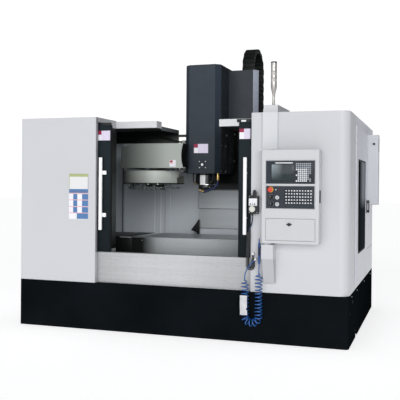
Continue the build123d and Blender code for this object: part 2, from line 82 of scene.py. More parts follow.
# ------------------------------------------------------------------ materials
def surface(name, rgb, rough, metallic=0.0, spec=0.5, var=0.05, var_scale=2.0, bump=0.1, grain=700.0, rough_var=0.06,
            stretch=(1, 1, 1), coat=0.0, dist=0.0004, speck=0.0, zdark=None, aniso=0.0, painted_light_ramps=None, painted_shade_by_facing=None):
    """Procedural finish: slow colour variation, fine grain in the bump, patchy roughness. The axis and facing ramps
    paint light and shade into the colour; the height ramps darken it by height, mostly as painted shade.
    """
    mt = bpy.data.materials.new(name)
    mt.use_nodes = True
    nt = mt.node_tree
    b = nt.nodes["Principled BSDF"]
    b.inputs["Metallic"].default_value = metallic
    b.inputs["Specular IOR Level"].default_value = spec
    b.inputs["Coat Weight"].default_value = coat
    b.inputs["Coat Roughness"].default_value = 0.12
    b.inputs["Anisotropic"].default_value = aniso
    tc = nt.nodes.new("ShaderNodeTexCoord")
    mp = nt.nodes.new("ShaderNodeMapping")
    mp.inputs["Scale"].default_value = stretch
    nt.links.new(tc.outputs["Object"], mp.inputs["Vector"])

    def noise(scale, detail=2.0, vec=mp.outputs["Vector"], rough_n=0.5):
        n = nt.nodes.new("ShaderNodeTexNoise")
        n.inputs["Scale"].default_value = scale
        n.inputs["Detail"].default_value = detail
        n.inputs["Roughness"].default_value = rough_n
        nt.links.new(vec, n.inputs["Vector"])
        return n.outputs["Fac"]

    def remap(src, a, c, lo, hi):
        r = nt.nodes.new("ShaderNodeMapRange")
        r.inputs["From Min"].default_value, r.inputs["From Max"].default_value = a, c
        r.inputs["To Min"].default_value, r.inputs["To Max"].default_value = lo, hi
        nt.links.new(src, r.inputs["Value"])
        return r.outputs["Result"]

    def mix(fac, a, c):
        x = nt.nodes.new("ShaderNodeMix")
        x.data_type = "RGBA"
        nt.links.new(fac, x.inputs["Factor"])
        for sock, v in ((x.inputs["A"], a), (x.inputs["B"], c)):
            if isinstance(v, tuple):
                sock.default_value = (*v, 1)
            else:
                nt.links.new(v, sock)
        return x.outputs["Result"]

    lo = tuple(c * (1 - var) for c in rgb)
    hi = tuple(min(1.0, c * (1 + var)) for c in rgb)
    col = mix(remap(noise(var_scale, 4.0), 0.3, 0.7, 0, 1), lo, hi)
    if speck:
        col = mix(remap(noise(grain * 0.35, 3.0, rough_n=0.7), 0.45, 0.75, 0, speck), col, tuple(c * 0.35 for c in rgb))
    # darker above or below a height, mostly painted shade
    if zdark:
        sep = nt.nodes.new("ShaderNodeSeparateXYZ")
        nt.links.new(tc.outputs["Object"], sep.inputs["Vector"])
        for z0, z1, amount, tone in zdark:
            col = mix(remap(sep.outputs["Z"], z0, z1, amount, 0), col, tone)
    # painted light and shade: colour ramps along an object axis
    if painted_light_ramps:
        sep = nt.nodes.new("ShaderNodeSeparateXYZ")
        nt.links.new(tc.outputs["Object"], sep.inputs["Vector"])
        for axis, p0, p1, a0, a1, tone in painted_light_ramps:
            col = mix(remap(sep.outputs[axis], p0, p1, a0, a1), col, tone)
    # painted shade on faces that point one way
    if painted_shade_by_facing:
        sep = nt.nodes.new("ShaderNodeSeparateXYZ")
        nt.links.new(tc.outputs["Normal"], sep.inputs["Vector"])
        for axis, p0, p1, a0, a1, tone in painted_shade_by_facing:
            col = mix(remap(sep.outputs[axis], p0, p1, a0, a1), col, tone)
    nt.links.new(col, b.inputs["Base Color"])
    nt.links.new(remap(noise(14.0, 3.0), 0.3, 0.7, max(0.02, rough - rough_var), min(1, rough + rough_var)), b.inputs["Roughness"])
    bp = nt.nodes.new("ShaderNodeBump")
    bp.inputs["Strength"].default_value = bump
    bp.inputs["Distance"].default_value = dist
    nt.links.new(noise(grain, 2.0), bp.inputs["Height"])
    nt.links.new(bp.outputs["Normal"], b.inputs["Normal"])
    return mt


def glass(name, rgb, rough=0.04, trans=0.9, ior=1.45, alpha=None):
    mt = surface(name, rgb, rough, spec=0.5, var=0.06, var_scale=6, bump=0.03, grain=60, rough_var=0.02, dist=0.0006)
    b = mt.node_tree.nodes["Principled BSDF"]
    b.inputs["Transmission Weight"].default_value = trans
    b.inputs["IOR"].default_value = ior
    return mt


PAINT = surface("paint_light_grey", (0.545, 0.556, 0.580), 0.42, spec=0.32, var=0.018, var_scale=0.9, bump=0.14, grain=420)
# painted light: the cover paint made lighter and bluer for the side and rear panels, for the light that falls on the
# right side
PAINT_SIDE = surface("paint_panels", (0.600, 0.610, 0.665), 0.42, spec=0.32, var=0.02, var_scale=0.9, bump=0.14, grain=420)
# painted shade: darker below 0.94 m and again below 0.8 m, on the sloped lower part of the bracket
PAINT_BOX = surface("paint_control_box", (0.600, 0.612, 0.635), 0.40, spec=0.3, var=0.015, var_scale=1.4, bump=0.12, grain=480, zdark=[(0.94, 0.96, 0.18, (0.25, 0.25, 0.28)), (0.799, 0.801, 0.34, (0.20, 0.20, 0.24))])
PAINT_CBOX = surface("paint_control_front", (0.538, 0.548, 0.568), 0.40, spec=0.3, var=0.015, var_scale=1.4, bump=0.12, grain=480)
# painted shade: faces pointing down, and the roof behind the hanging panel, painted nearly black
PAINT_ROOF = surface("paint_roof", (0.66, 0.67, 0.69), 0.45, spec=0.3, var=0.02, bump=0.12, grain=420,
                     painted_light_ramps=[("Y", 0.0385, 0.0360, 0.93, 0.0, (0.010, 0.012, 0.012))], painted_shade_by_facing=[("Z", -0.90, -0.99, 0.0, 0.97, (0.006, 0.008, 0.008))])
# painted shade: the black base darker towards the rear
BASE = surface("paint_base_black", (0.0050, 0.0066, 0.0080), 0.62, spec=0.0, var=0.25, var_scale=1.6, bump=0.35, grain=320, dist=0.0005, painted_light_ramps=[("Y", 0.9, -0.9, 0.6, 0.0, (0.002, 0.003, 0.003))])
# painted shade: the door stiles darker towards the bottom
STILE = surface("paint_dark_slate", (0.0120, 0.0190, 0.0235), 0.50, spec=0.08, var=0.10, var_scale=1.6, bump=0.2, grain=420, zdark=[(0.85, 1.70, 0.62, (0.003, 0.005, 0.006))])
# painted shade: the head paint darker towards the bottom and on faces turned to the right
HEAD = surface("paint_head_slate", (0.0250, 0.0350, 0.0490), 0.40, spec=0.22, var=0.06, var_scale=1.3, bump=0.16, grain=420, zdark=[(1.55, 2.15, 0.72, (0.006, 0.012, 0.018))], painted_shade_by_facing=[("X", 0.80, 0.95, 0.0, 0.62, (0.003, 0.004, 0.006))])
HEAD_BOX = surface("paint_side_box", (0.0230, 0.0300, 0.0380), 0.38, spec=0.25, var=0.06, var_scale=1.3, bump=0.16, grain=420)
CAST_DARK = surface("casting_dark", (0.0042, 0.0052, 0.0055), 0.60, spec=0.12, var=0.3, var_scale=5, bump=0.6, grain=160, dist=0.0012, speck=0.25)
CAST = surface("casting_grey_paint", (0.20, 0.225, 0.225), 0.55, spec=0.3, var=0.08, var_scale=3, bump=0.5, grain=140, dist=0.0012)
# painted shade: the magazine cover darker towards its left end
MAG = surface("paint_magazine", (0.370, 0.400, 0.375), 0.38, spec=0.35, var=0.035, var_scale=1.5, bump=0.13, grain=420, painted_light_ramps=[("X", -0.92, -0.44, 0.85, 0.0, (0.035, 0.042, 0.040))])
# painted shadow: the Z-axis covers darken above 1.22 m and go nearly black above 1.41 m, the shadow under the headstock
STEEL_SHEET = surface("sheet_steel_dull", (0.375, 0.402, 0.422), 0.40, metallic=0.55, spec=0.4, var=0.05, var_scale=1.2, bump=0.1,
                      grain=260, stretch=(1, 1, 14), rough_var=0.08, aniso=0.3, zdark=[(1.40, 1.22, 0.30, (0.05, 0.06, 0.065)), (1.432, 1.408, 0.97, (0.003, 0.004, 0.005))])
# painted shade: the sill darker towards both ends
SILL = surface("sill_brushed", (0.488, 0.498, 0.511), 0.34, metallic=0.72, spec=0.5, var=0.07, var_scale=1.1, bump=0.08, grain=180,
               stretch=(1, 1, 30), rough_var=0.09, aniso=0.4, painted_light_ramps=[("X", -0.90, -0.45, 0.30, 0.0, (0.12, 0.125, 0.13)), ("X", 0.60, 0.0, 0.30, 0.0, (0.12, 0.125, 0.13))])
STEEL = surface("steel_ground", (0.62, 0.63, 0.64), 0.24, metallic=1.0, var=0.05, var_scale=30, bump=0.06, grain=300, stretch=(1, 1, 10), aniso=0.3)
STEEL_BRIGHT = surface("steel_polished", (0.80, 0.81, 0.82), 0.14, metallic=1.0, var=0.05, var_scale=18, bump=0.04, grain=240, stretch=(8, 8, 1), aniso=0.4)
TABLE = surface("table_cast_iron", (0.36, 0.375, 0.385), 0.33, metallic=0.85, var=0.08, var_scale=5, bump=0.2, grain=220, stretch=(1, 6, 1), speck=0.15)
ZINC = surface("zinc_plated", (0.55, 0.56, 0.55), 0.34, metallic=0.9, var=0.12, var_scale=40, bump=0.1, grain=300)
BRASS = surface("brass", (0.62, 0.44, 0.17), 0.30, metallic=1.0, var=0.12, var_scale=30, bump=0.1, grain=300)
BLACK = surface("black_plastic", (0.010, 0.011, 0.013), 0.42, spec=0.35, var=0.2, var_scale=12, bump=0.25, grain=520)
RUBBER = surface("black_rubber", (0.012, 0.013, 0.014), 0.68, spec=0.25, var=0.2, var_scale=16, bump=0.4, grain=380)
CHAIN = surface("chain_nylon", (0.0085, 0.0100, 0.0095), 0.50, spec=0.15, var=0.25, var_scale=20, bump=0.3, grain=400)
CHAIN_GREY = surface("chain_nylon_worn", (0.13, 0.14, 0.14), 0.45, spec=0.4, var=0.2, var_scale=20, bump=0.3, grain=400)
WHITE = surface("handle_white", (0.90, 0.91, 0.93), 0.30, spec=0.45, var=0.012, var_scale=4, bump=0.06, grain=400, coat=0.2)
WHITE_PLASTIC = surface("white_plastic", (0.72, 0.73, 0.76), 0.45, spec=0.4, var=0.03, var_scale=14, bump=0.1, grain=500)
CREAM = surface("dial_cream", (0.62, 0.62, 0.57), 0.38, spec=0.4, var=0.03, var_scale=20, bump=0.08, grain=500)
RED = surface("estop_red", (0.62, 0.030, 0.012), 0.30, spec=0.5, var=0.06, var_scale=30, bump=0.08, grain=500, coat=0.3)
YELLOW = surface("ring_yellow", (0.78, 0.48, 0.03), 0.42, spec=0.4, var=0.05, var_scale=30, bump=0.08, grain=500)
BLUE = surface("blue_plastic", (0.012, 0.070, 0.255), 0.36, spec=0.5, var=0.14, var_scale=14, bump=0.12, grain=500)
HOSE = surface("blue_hose", (0.010, 0.085, 0.300), 0.26, spec=0.6, var=0.16, var_scale=9, bump=0.06, grain=320, coat=0.3)
CORD = surface("curly_cord", (0.045, 0.048, 0.052), 0.50, spec=0.4, var=0.2, var_scale=30, bump=0.25, grain=600)
CORD_BLUE = surface("dark_blue_sleeve", (0.012, 0.022, 0.070), 0.42, spec=0.4, var=0.2, var_scale=20, bump=0.2, grain=500)
PANEL = surface("panel_slate", (0.0170, 0.0245, 0.0345), 0.46, spec=0.3, var=0.05, var_scale=6, bump=0.12, grain=620)
PANEL_DARK = surface("panel_dark", (0.0070, 0.0095, 0.0125), 0.36, spec=0.35, var=0.1, var_scale=8, bump=0.1, grain=620)
KEY = surface("key_white", (0.66, 0.68, 0.72), 0.5, spec=0.35, var=0.03, var_scale=40, bump=0.15, grain=900)
BUTTON = surface("button_pale", (0.34, 0.40, 0.43), 0.4, spec=0.4, var=0.05, var_scale=30, bump=0.1, grain=600)
KEY_GREY = surface("key_grey", (0.30, 0.33, 0.37), 0.5, spec=0.35, var=0.05, var_scale=40, bump=0.15, grain=900)
LED_LIGHT = surface("lens_light", (0.50, 0.56, 0.58), 0.2, spec=0.5, var=0.05, var_scale=50, bump=0.05, grain=500)
LED_RED = surface("lens_red", (0.16, 0.012, 0.014), 0.25, spec=0.5, var=0.08, var_scale=50, bump=0.05, grain=500)
# painted reflection: a light patch on the upper left of the dark screen glass, dark below
SCREEN = surface("screen_glass", (0.014, 0.022, 0.027), 0.16, spec=0.3, var=0.10, var_scale=5, bump=0.02, grain=200, coat=0.08,
                 painted_light_ramps=[("X", 0.955, 1.06, 0.85, 0.0, (0.36, 0.43, 0.46)), ("Z", 1.53, 1.662, 0.97, 0.0, (0.014, 0.024, 0.030))])
LBL_WHITE = surface("field_white", (0.78, 0.77, 0.83), 0.45, spec=0.35, var=0.02, var_scale=20, bump=0.06, grain=600)
LBL_LILAC = surface("field_lilac", (0.66, 0.61, 0.75), 0.45, spec=0.35, var=0.03, var_scale=20, bump=0.06, grain=600)
LBL_RED = surface("field_crimson", (0.28, 0.012, 0.050), 0.45, spec=0.35, var=0.06, var_scale=20, bump=0.06, grain=600)
LBL_DARK = surface("field_ink", (0.030, 0.030, 0.050), 0.5, spec=0.3, var=0.1, var_scale=20, bump=0.06, grain=600)
LBL_BLUE = surface("field_blue", (0.080, 0.185, 0.400), 0.45, spec=0.35, var=0.05, var_scale=20, bump=0.06, grain=600)
LBL_BLUE2 = surface("field_blue_header", (0.110, 0.150, 0.290), 0.45, spec=0.35, var=0.05, var_scale=20, bump=0.06, grain=600)
LBL_GREEN = surface("field_green", (0.375, 0.420, 0.200), 0.45, spec=0.35, var=0.04, var_scale=20, bump=0.06, grain=600)
LBL_PINK = surface("field_pink", (0.72, 0.34, 0.36), 0.45, spec=0.35, var=0.04, var_scale=20, bump=0.06, grain=600)
LBL_PALE = surface("field_pale", (0.70, 0.71, 0.715), 0.45, spec=0.35, var=0.02, var_scale=20, bump=0.06, grain=600)
SLEEVE = surface("sleeve_white", (0.56, 0.57, 0.59), 0.6, spec=0.2, var=0.10, var_scale=14, bump=0.4, grain=60)
JBOX = surface("paint_side_box_grey", (0.570, 0.580, 0.622), 0.42, spec=0.3, var=0.02, var_scale=0.9, bump=0.14, grain=420)
# painted highlight: near-white strips for light on the edges of the back-wall rib
RIB_HIGHLIGHT = surface("rib_painted_highlight", (0.92, 0.94, 0.96), 0.4, spec=0.5, var=0.04, var_scale=6, bump=0.08, grain=300)
SEAM = surface("seam_shadow", (0.16, 0.165, 0.19), 0.7, spec=0.1, var=0.1, var_scale=20, bump=0.1, grain=500)
# mid grey for real seam lines; also a painted highlight on the left way cover and painted shade on the left cover's
# side wall
SEAM_AND_PAINTED_LIGHT = surface("seam_and_painted_light_grey", (0.34, 0.345, 0.37), 0.7, spec=0.1, var=0.1, var_scale=20, bump=0.1, grain=500)
# painted shade: the lining darker towards the top and towards the left; also much darker below 0.72 m, where the chip
# pans are
LINING = surface("lining_panels", (0.620, 0.668, 0.715), 0.42, metallic=0.15, spec=0.35, var=0.05, var_scale=1.1, bump=0.1, grain=320,
                 rough_var=0.1, zdark=[(0.60, 0.72, 0.95, (0.020, 0.026, 0.025)), (2.04, 1.86, 0.96, (0.006, 0.008, 0.008))],
                 painted_light_ramps=[("X", -1.47, -0.80, 0.30, 0.0, (0.12, 0.135, 0.135))])
GLASS_DARK = glass("window_smoked", (0.30, 0.34, 0.36), trans=0.85)
# painted shade: the lamp lens darker at its left and right edges and at the top
LAMP_GREY = surface("lamp_smoke", (0.56, 0.55, 0.53), 0.22, metallic=0.25, spec=0.6, var=0.06, var_scale=30, bump=0.05, grain=200, coat=0.4,
                    painted_light_ramps=[("X", 0.868, 0.880, 0.55, 0.0, (0.10, 0.095, 0.09)), ("X", 0.910, 0.900, 0.5, 0.0, (0.16, 0.15, 0.14)), ("Z", 2.63, 2.60, 0.25, 0.0, (0.3, 0.29, 0.28))])
LAMP_BODY = surface("lamp_cone", (0.42, 0.41, 0.39), 0.30, metallic=0.6, spec=0.5, var=0.06, var_scale=30, bump=0.05, grain=200)
# painted light: the corner face of the dark side box painted light blue-grey for the light on it, with painted shade
# darker towards the bottom
CHAMFER = surface("side_box_corner", (0.33, 0.36, 0.43), 0.30, spec=0.45, var=0.04, var_scale=2, bump=0.1, grain=420,
                  painted_light_ramps=[("Z", 2.3, 2.75, 0.30, 0.0, (0.12, 0.14, 0.18))])
HOUSING = surface("housing_black_oxide", (0.010, 0.012, 0.014), 0.30, metallic=0.2, spec=0.4, var=0.2, var_scale=20, bump=0.08, grain=240, stretch=(8, 8, 1))
# painted highlight on the spindle cartridge, dimmer above 1.5 m
SPINDLE_HIGHLIGHT = surface("spindle_painted_highlight", (0.84, 0.85, 0.87), 0.30, spec=0.4, var=0.03, var_scale=20, bump=0.06, grain=240,
                painted_light_ramps=[("Z", 1.50, 1.46, 0.35, 0.0, (0.35, 0.36, 0.36))])
# painted shade: the inner side wall of the left cover painted dark grey, darker still at top and bottom
POCKET_SHADE = surface("pocket_side_painted_shade", (0.10, 0.115, 0.115), 0.5, spec=0.25, var=0.06, var_scale=3, bump=0.15, grain=300,
                 zdark=[(0.82, 1.00, 0.9, (0.008, 0.009, 0.009)), (1.62, 1.40, 0.85, (0.010, 0.012, 0.012))])
# painted reflection: the dark side window lighter towards the top rear; darker low down and at the front edge as
# painted shade
SIDE_GLASS = surface("side_window_tinted", (0.010, 0.014, 0.016), 0.45, spec=0.0, var=0.15, var_scale=3, bump=0.02, grain=40,
                     painted_light_ramps=[("Y", -0.30, -0.02, 0.0, 0.62, (0.36, 0.38, 0.42)), ("Z", 1.24, 1.36, 0.96, 0.0, (0.010, 0.014, 0.017)), ("Y", -0.38, -0.33, 0.90, 0.0, (0.006, 0.008, 0.010))])
# painted shade: the hanging panel dark grey, darker still to the left and at the top
DROP = surface("drop_panel", (0.100, 0.108, 0.100), 0.55, spec=0.1, var=0.08, var_scale=3, bump=0.15, grain=300,
               painted_light_ramps=[("X", -0.95, -0.52, 0.97, 0.0, (0.004, 0.006, 0.006)), ("Z", 2.05, 1.97, 0.95, 0.10, (0.006, 0.008, 0.008))])
# painted shade: the folded roof edge dark grey
ROOF_EDGE = surface("roof_edge", (0.13, 0.14, 0.145), 0.5, spec=0.15, var=0.06, var_scale=4, bump=0.12, grain=400)
NOSE = surface("nose_steel", (0.10, 0.105, 0.11), 0.34, metallic=0.9, var=0.08, var_scale=18, bump=0.04, grain=240, stretch=(8, 8, 1))
# painted shade: the tops of the telescopic covers painted much darker than their fronts
WAY_TOP = surface("way_cover_top", (0.055, 0.062, 0.060), 0.5, metallic=0.4, spec=0.3, var=0.08, var_scale=3, bump=0.1, grain=260, stretch=(14, 1, 1))
# painted shade: the drum darker towards its left end and its bottom
DRUM = surface("paint_drum", (0.52, 0.55, 0.515), 0.38, spec=0.35, var=0.03, var_scale=1.5, bump=0.13, grain=420,
               painted_light_ramps=[("X", -1.05, -0.56, 0.92, 0.0, (0.02, 0.025, 0.023)), ("Z", 1.52, 1.60, 0.25, 0.0, (0.10, 0.11, 0.10))])
# painted shadow: the apron and way-cover fronts nearly black at the left end, the left cover's shadow, and darker again
# towards the right
APRON = surface("apron_steel", (0.43, 0.455, 0.47), 0.40, metallic=0.55, spec=0.4, var=0.05, var_scale=1.2, bump=0.1, grain=260, stretch=(1, 1, 14), rough_var=0.08,
                painted_light_ramps=[("X", -0.70, -0.53, 0.98, 0.0, (0.006, 0.008, 0.007)), ("X", 0.42, -0.11, 0.42, 0.0, (0.10, 0.11, 0.12))])
PAINT_FLAP = surface("paint_flap", (0.530, 0.540, 0.556), 0.40, spec=0.3, var=0.015, var_scale=1.4, bump=0.12, grain=480)
MAG_MOUTH = surface("magazine_shade", (0.0045, 0.0050, 0.0050), 0.7, spec=0.1, var=0.3, var_scale=9, bump=0.3, grain=300)
# painted shade: the carousel and tool holders coloured dark grey for the shadow under the drum
CAROUSEL = surface("carousel_grey", (0.080, 0.090, 0.090), 0.55, spec=0.2, var=0.06, var_scale=9, bump=0.2, grain=300)
FLOOR = surface("floor_pale", (0.93, 0.93, 0.935), 0.8, spec=0.2, var=0.01, var_scale=0.7, bump=0.05, grain=60)

LOOK = {
    "base_skirt": BASE, "levelling_feet": CAST_DARK, "bed_casting": CAST, "column_casting": CAST, "axis_motors": BLACK,
    "saddle_casting": CAST, "headstock_casting": CAST_DARK, "spindle_motor": BLACK, "z_ball_screw": STEEL,
    "left_front_cover": PAINT, "right_front_cover": PAINT, "outer_panels": PAINT_SIDE, "roof_covers": PAINT_ROOF,
    "front_sill": SILL, "chamber_lining": LINING, "panel_post": PAINT_BOX, "tower_lamp": LAMP_GREY,
    "side_junction_box": JBOX, "electrical_cabinet": PAINT_SIDE, "magazine_bracket": CAST_DARK, "magazine_cover": MAG,
    "magazine_conduit": RUBBER, "cable_chain": CHAIN, "wall_fittings": ZINC, "pendant_body": BLACK, "pendant_cord": CORD,
    "air_gun_body": BLUE, "air_gun_hose": HOSE, "work_table": TABLE, "table_apron": APRON, "head_cover": HEAD,
    "head_side_box": HEAD_BOX, "spindle_housing": HOUSING, "coolant_nozzle": CORD_BLUE, "z_cover_upper": STEEL_SHEET,
    # the carousel and tool holders take the dark painted-shade grey
    "z_cover_middle": STEEL_SHEET, "spindle_nose": NOSE, "magazine_drum": DRUM, "magazine_carousel": CAROUSEL,
    "tool_holders": CAROUSEL, "left_door_frame": STILE, "right_door_frame": STILE, "left_door_window": GLASS_DARK,
    "right_door_window": GLASS_DARK, "left_door_handle": WHITE, "right_door_handle": WHITE, "side_door": PAINT_SIDE,
    "side_window": SIDE_GLASS, "control_box": PAINT_CBOX, "screen_unit": PANEL, "operator_panel": PANEL, "panel_flap": PAINT_FLAP,
    "flap_latch": BLACK, "estop_button": RED, "feed_knob": BLACK, "speed_knob": BLACK, "start_button": WHITE_PLASTIC,
    "stop_button": WHITE_PLASTIC, "pendant_dial": CREAM, "air_gun_trigger": BLACK,
}
for name, mt in LOOK.items():
    ob = NODES[name]
    ob.data.materials.clear()
    ob.data.materials.append(mt)


# ------------------------------------------------------------------ cords
def nurbs(name, pts, radius, mat, res=12, ring=3):
    cu = bpy.data.curves.new(name, "CURVE")
    cu.dimensions = "3D"
    sp = cu.splines.new("NURBS")
    sp.points.add(len(pts) - 1)
    for point, q in zip(sp.points, pts):
        point.co = (*q, 1)
    sp.order_u = 3
    sp.use_endpoint_u = True
    cu.resolution_u = res
    cu.bevel_depth = radius
    cu.bevel_resolution = ring
    cu.use_fill_caps = True
    ob = bpy.data.objects.new(name, cu)
    bpy.context.scene.collection.objects.link(ob)
    cu.materials.append(mat)
    return ob


def line_of(pts, res=24):
    """Points along the route's own NURBS spline."""
    bare = nurbs("route", pts, 0, RUBBER, res)
    me = bpy.data.meshes.new_from_object(bare)
    line = [v.co.copy() for v in me.vertices]
    bpy.data.meshes.remove(me)
    cu = bare.data
    bpy.data.objects.remove(bare)
    bpy.data.curves.remove(cu)
    return line


def length_of(line):
    return sum((b - a).length for a, b in zip(line, line[1:]))


def helix(line, s0, s1, radius, pitch, per_turn, ramp, start=Vector((0, -1, 0)), wobble=None):
    """Winds round the line between lengths s0 and s1; straight outside them."""
    along, pts, n = 0.0, [], len(line)
    cum = [0.0]
    for a, b in zip(line, line[1:]):
        cum.append(cum[-1] + (b - a).length)

    def at(s):
        s = min(max(s, 0.0), cum[-1])
        i = 0
        lo, hi = 0, n - 2
        while lo <= hi:
            mid = (lo + hi) // 2
            if cum[mid] <= s:
                i, lo = mid, mid + 1
            else:
                hi = mid - 1
        t = (s - cum[i]) / max(cum[i + 1] - cum[i], 1e-9)
        return line[i].lerp(line[i + 1], t), (line[i + 1] - line[i]).normalized()

    # straight part before the coil
    k = max(2, round(s0 / 0.03))
    for j in range(k):
        pts.append(at(s0 * j / k)[0])
    turns = (s1 - s0) / pitch
    count = round(turns * per_turn)
    side = None
    for j in range(count + 1):
        f = j / count
        s = s0 + (s1 - s0) * f
        c, d = at(s)
        if side is None:
            side = (start - d * start.dot(d)).normalized()
        side = (side - d * side.dot(d)).normalized()
        other = d.cross(side)
        a = 2 * math.pi * turns * f
        e = min(1.0, (s - s0) / ramp, (s1 - s) / ramp)
        e = e * e * (3 - 2 * e)
        r = radius * e * (wobble(f, a) if wobble else 1.0)
        pts.append(c + side * (r * math.cos(a)) + other * (r * math.sin(a)))
    k = max(2, round((cum[-1] - s1) / 0.03))
    for j in range(1, k + 1):
        pts.append(at(s1 + (cum[-1] - s1) * j / k)[0])
    return pts


def mm(pts):
    return [P(*p) for p in pts]


# hand pendant: from the gland on the wall, down, round and up to the pendant
pendant_route = mm([(820, -25, 826), (820, -25, 806), (820, -25, 752), (820, -25, 700), (768, -25, 700), (768, -25, 752), (768, -25, 812),
                    (772, -26, 924), (779, -28, 1050), (793, -32, 1084), (807, -36, 1120), (814, -38, 1160), (814, -38, 1196)])
pl = line_of(pendant_route)
pendant_pts = helix(pl, 0.022, length_of(pl) - 0.150, 0.0155, 0.0112, 14, 0.022, wobble=lambda f, a: 1 + 0.03 * math.sin(7 * f + 1))
pendant = nurbs("pendant_curly_cord", pendant_pts, 0.004, CORD, res=3, ring=3)
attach(pendant, "machine")
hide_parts("pendant_cord")
round(length_of(line_of(pendant_pts, 3)), 2)

# air hose: from the air outlet, down the left coil, round and up to the gun
air_route = mm([(837.6, -56, 778.1), (810.2, -56, 751.7), (780, -57, 712), (756, -54, 668), (744, -51, 622), (751, -50, 574), (751, -50, 330),
                (751, -50, 200), (881, -50, 200), (881, -50, 330), (881, -50, 651), (883, -51.5, 690), (886, -53, 722), (886, -53, 752)])
al = line_of(air_route)
L = length_of(al)
air_pts = helix(al, 0.205, L - 0.085, 0.0338, 0.0330, 16, 0.045, wobble=lambda f, a: 1 - 0.05 * (1 + math.sin(9 * f + 0.6)) * 0.5)
air = nurbs("air_gun_coiled_hose", air_pts, 0.0051, HOSE, res=4, ring=3)
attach(air, "machine")
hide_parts("air_gun_hose")
round(length_of(line_of(air_pts, 4)), 2)

# flexible conduit over the tool magazine
conduit_route = mm([(-300, 1100, 1966), (-340, 1100, 1966), (-392, 1098, 1978), (-450, 1094, 1997), (-512, 1091, 2014), (-578, 1091, 2025), (-645, 1094, 2028),
                    (-712, 1098, 2022), (-778, 1102, 2009), (-840, 1104, 1985), (-895, 1104, 1951), (-941, 1103, 1906), (-973, 1101, 1852), (-995, 1100, 1795), (-995, 1100, 1735)])
conduit = nurbs("magazine_flexible_conduit", conduit_route, 0.0105, RUBBER, res=12, ring=5)
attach(conduit, "machine")
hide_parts("magazine_conduit")


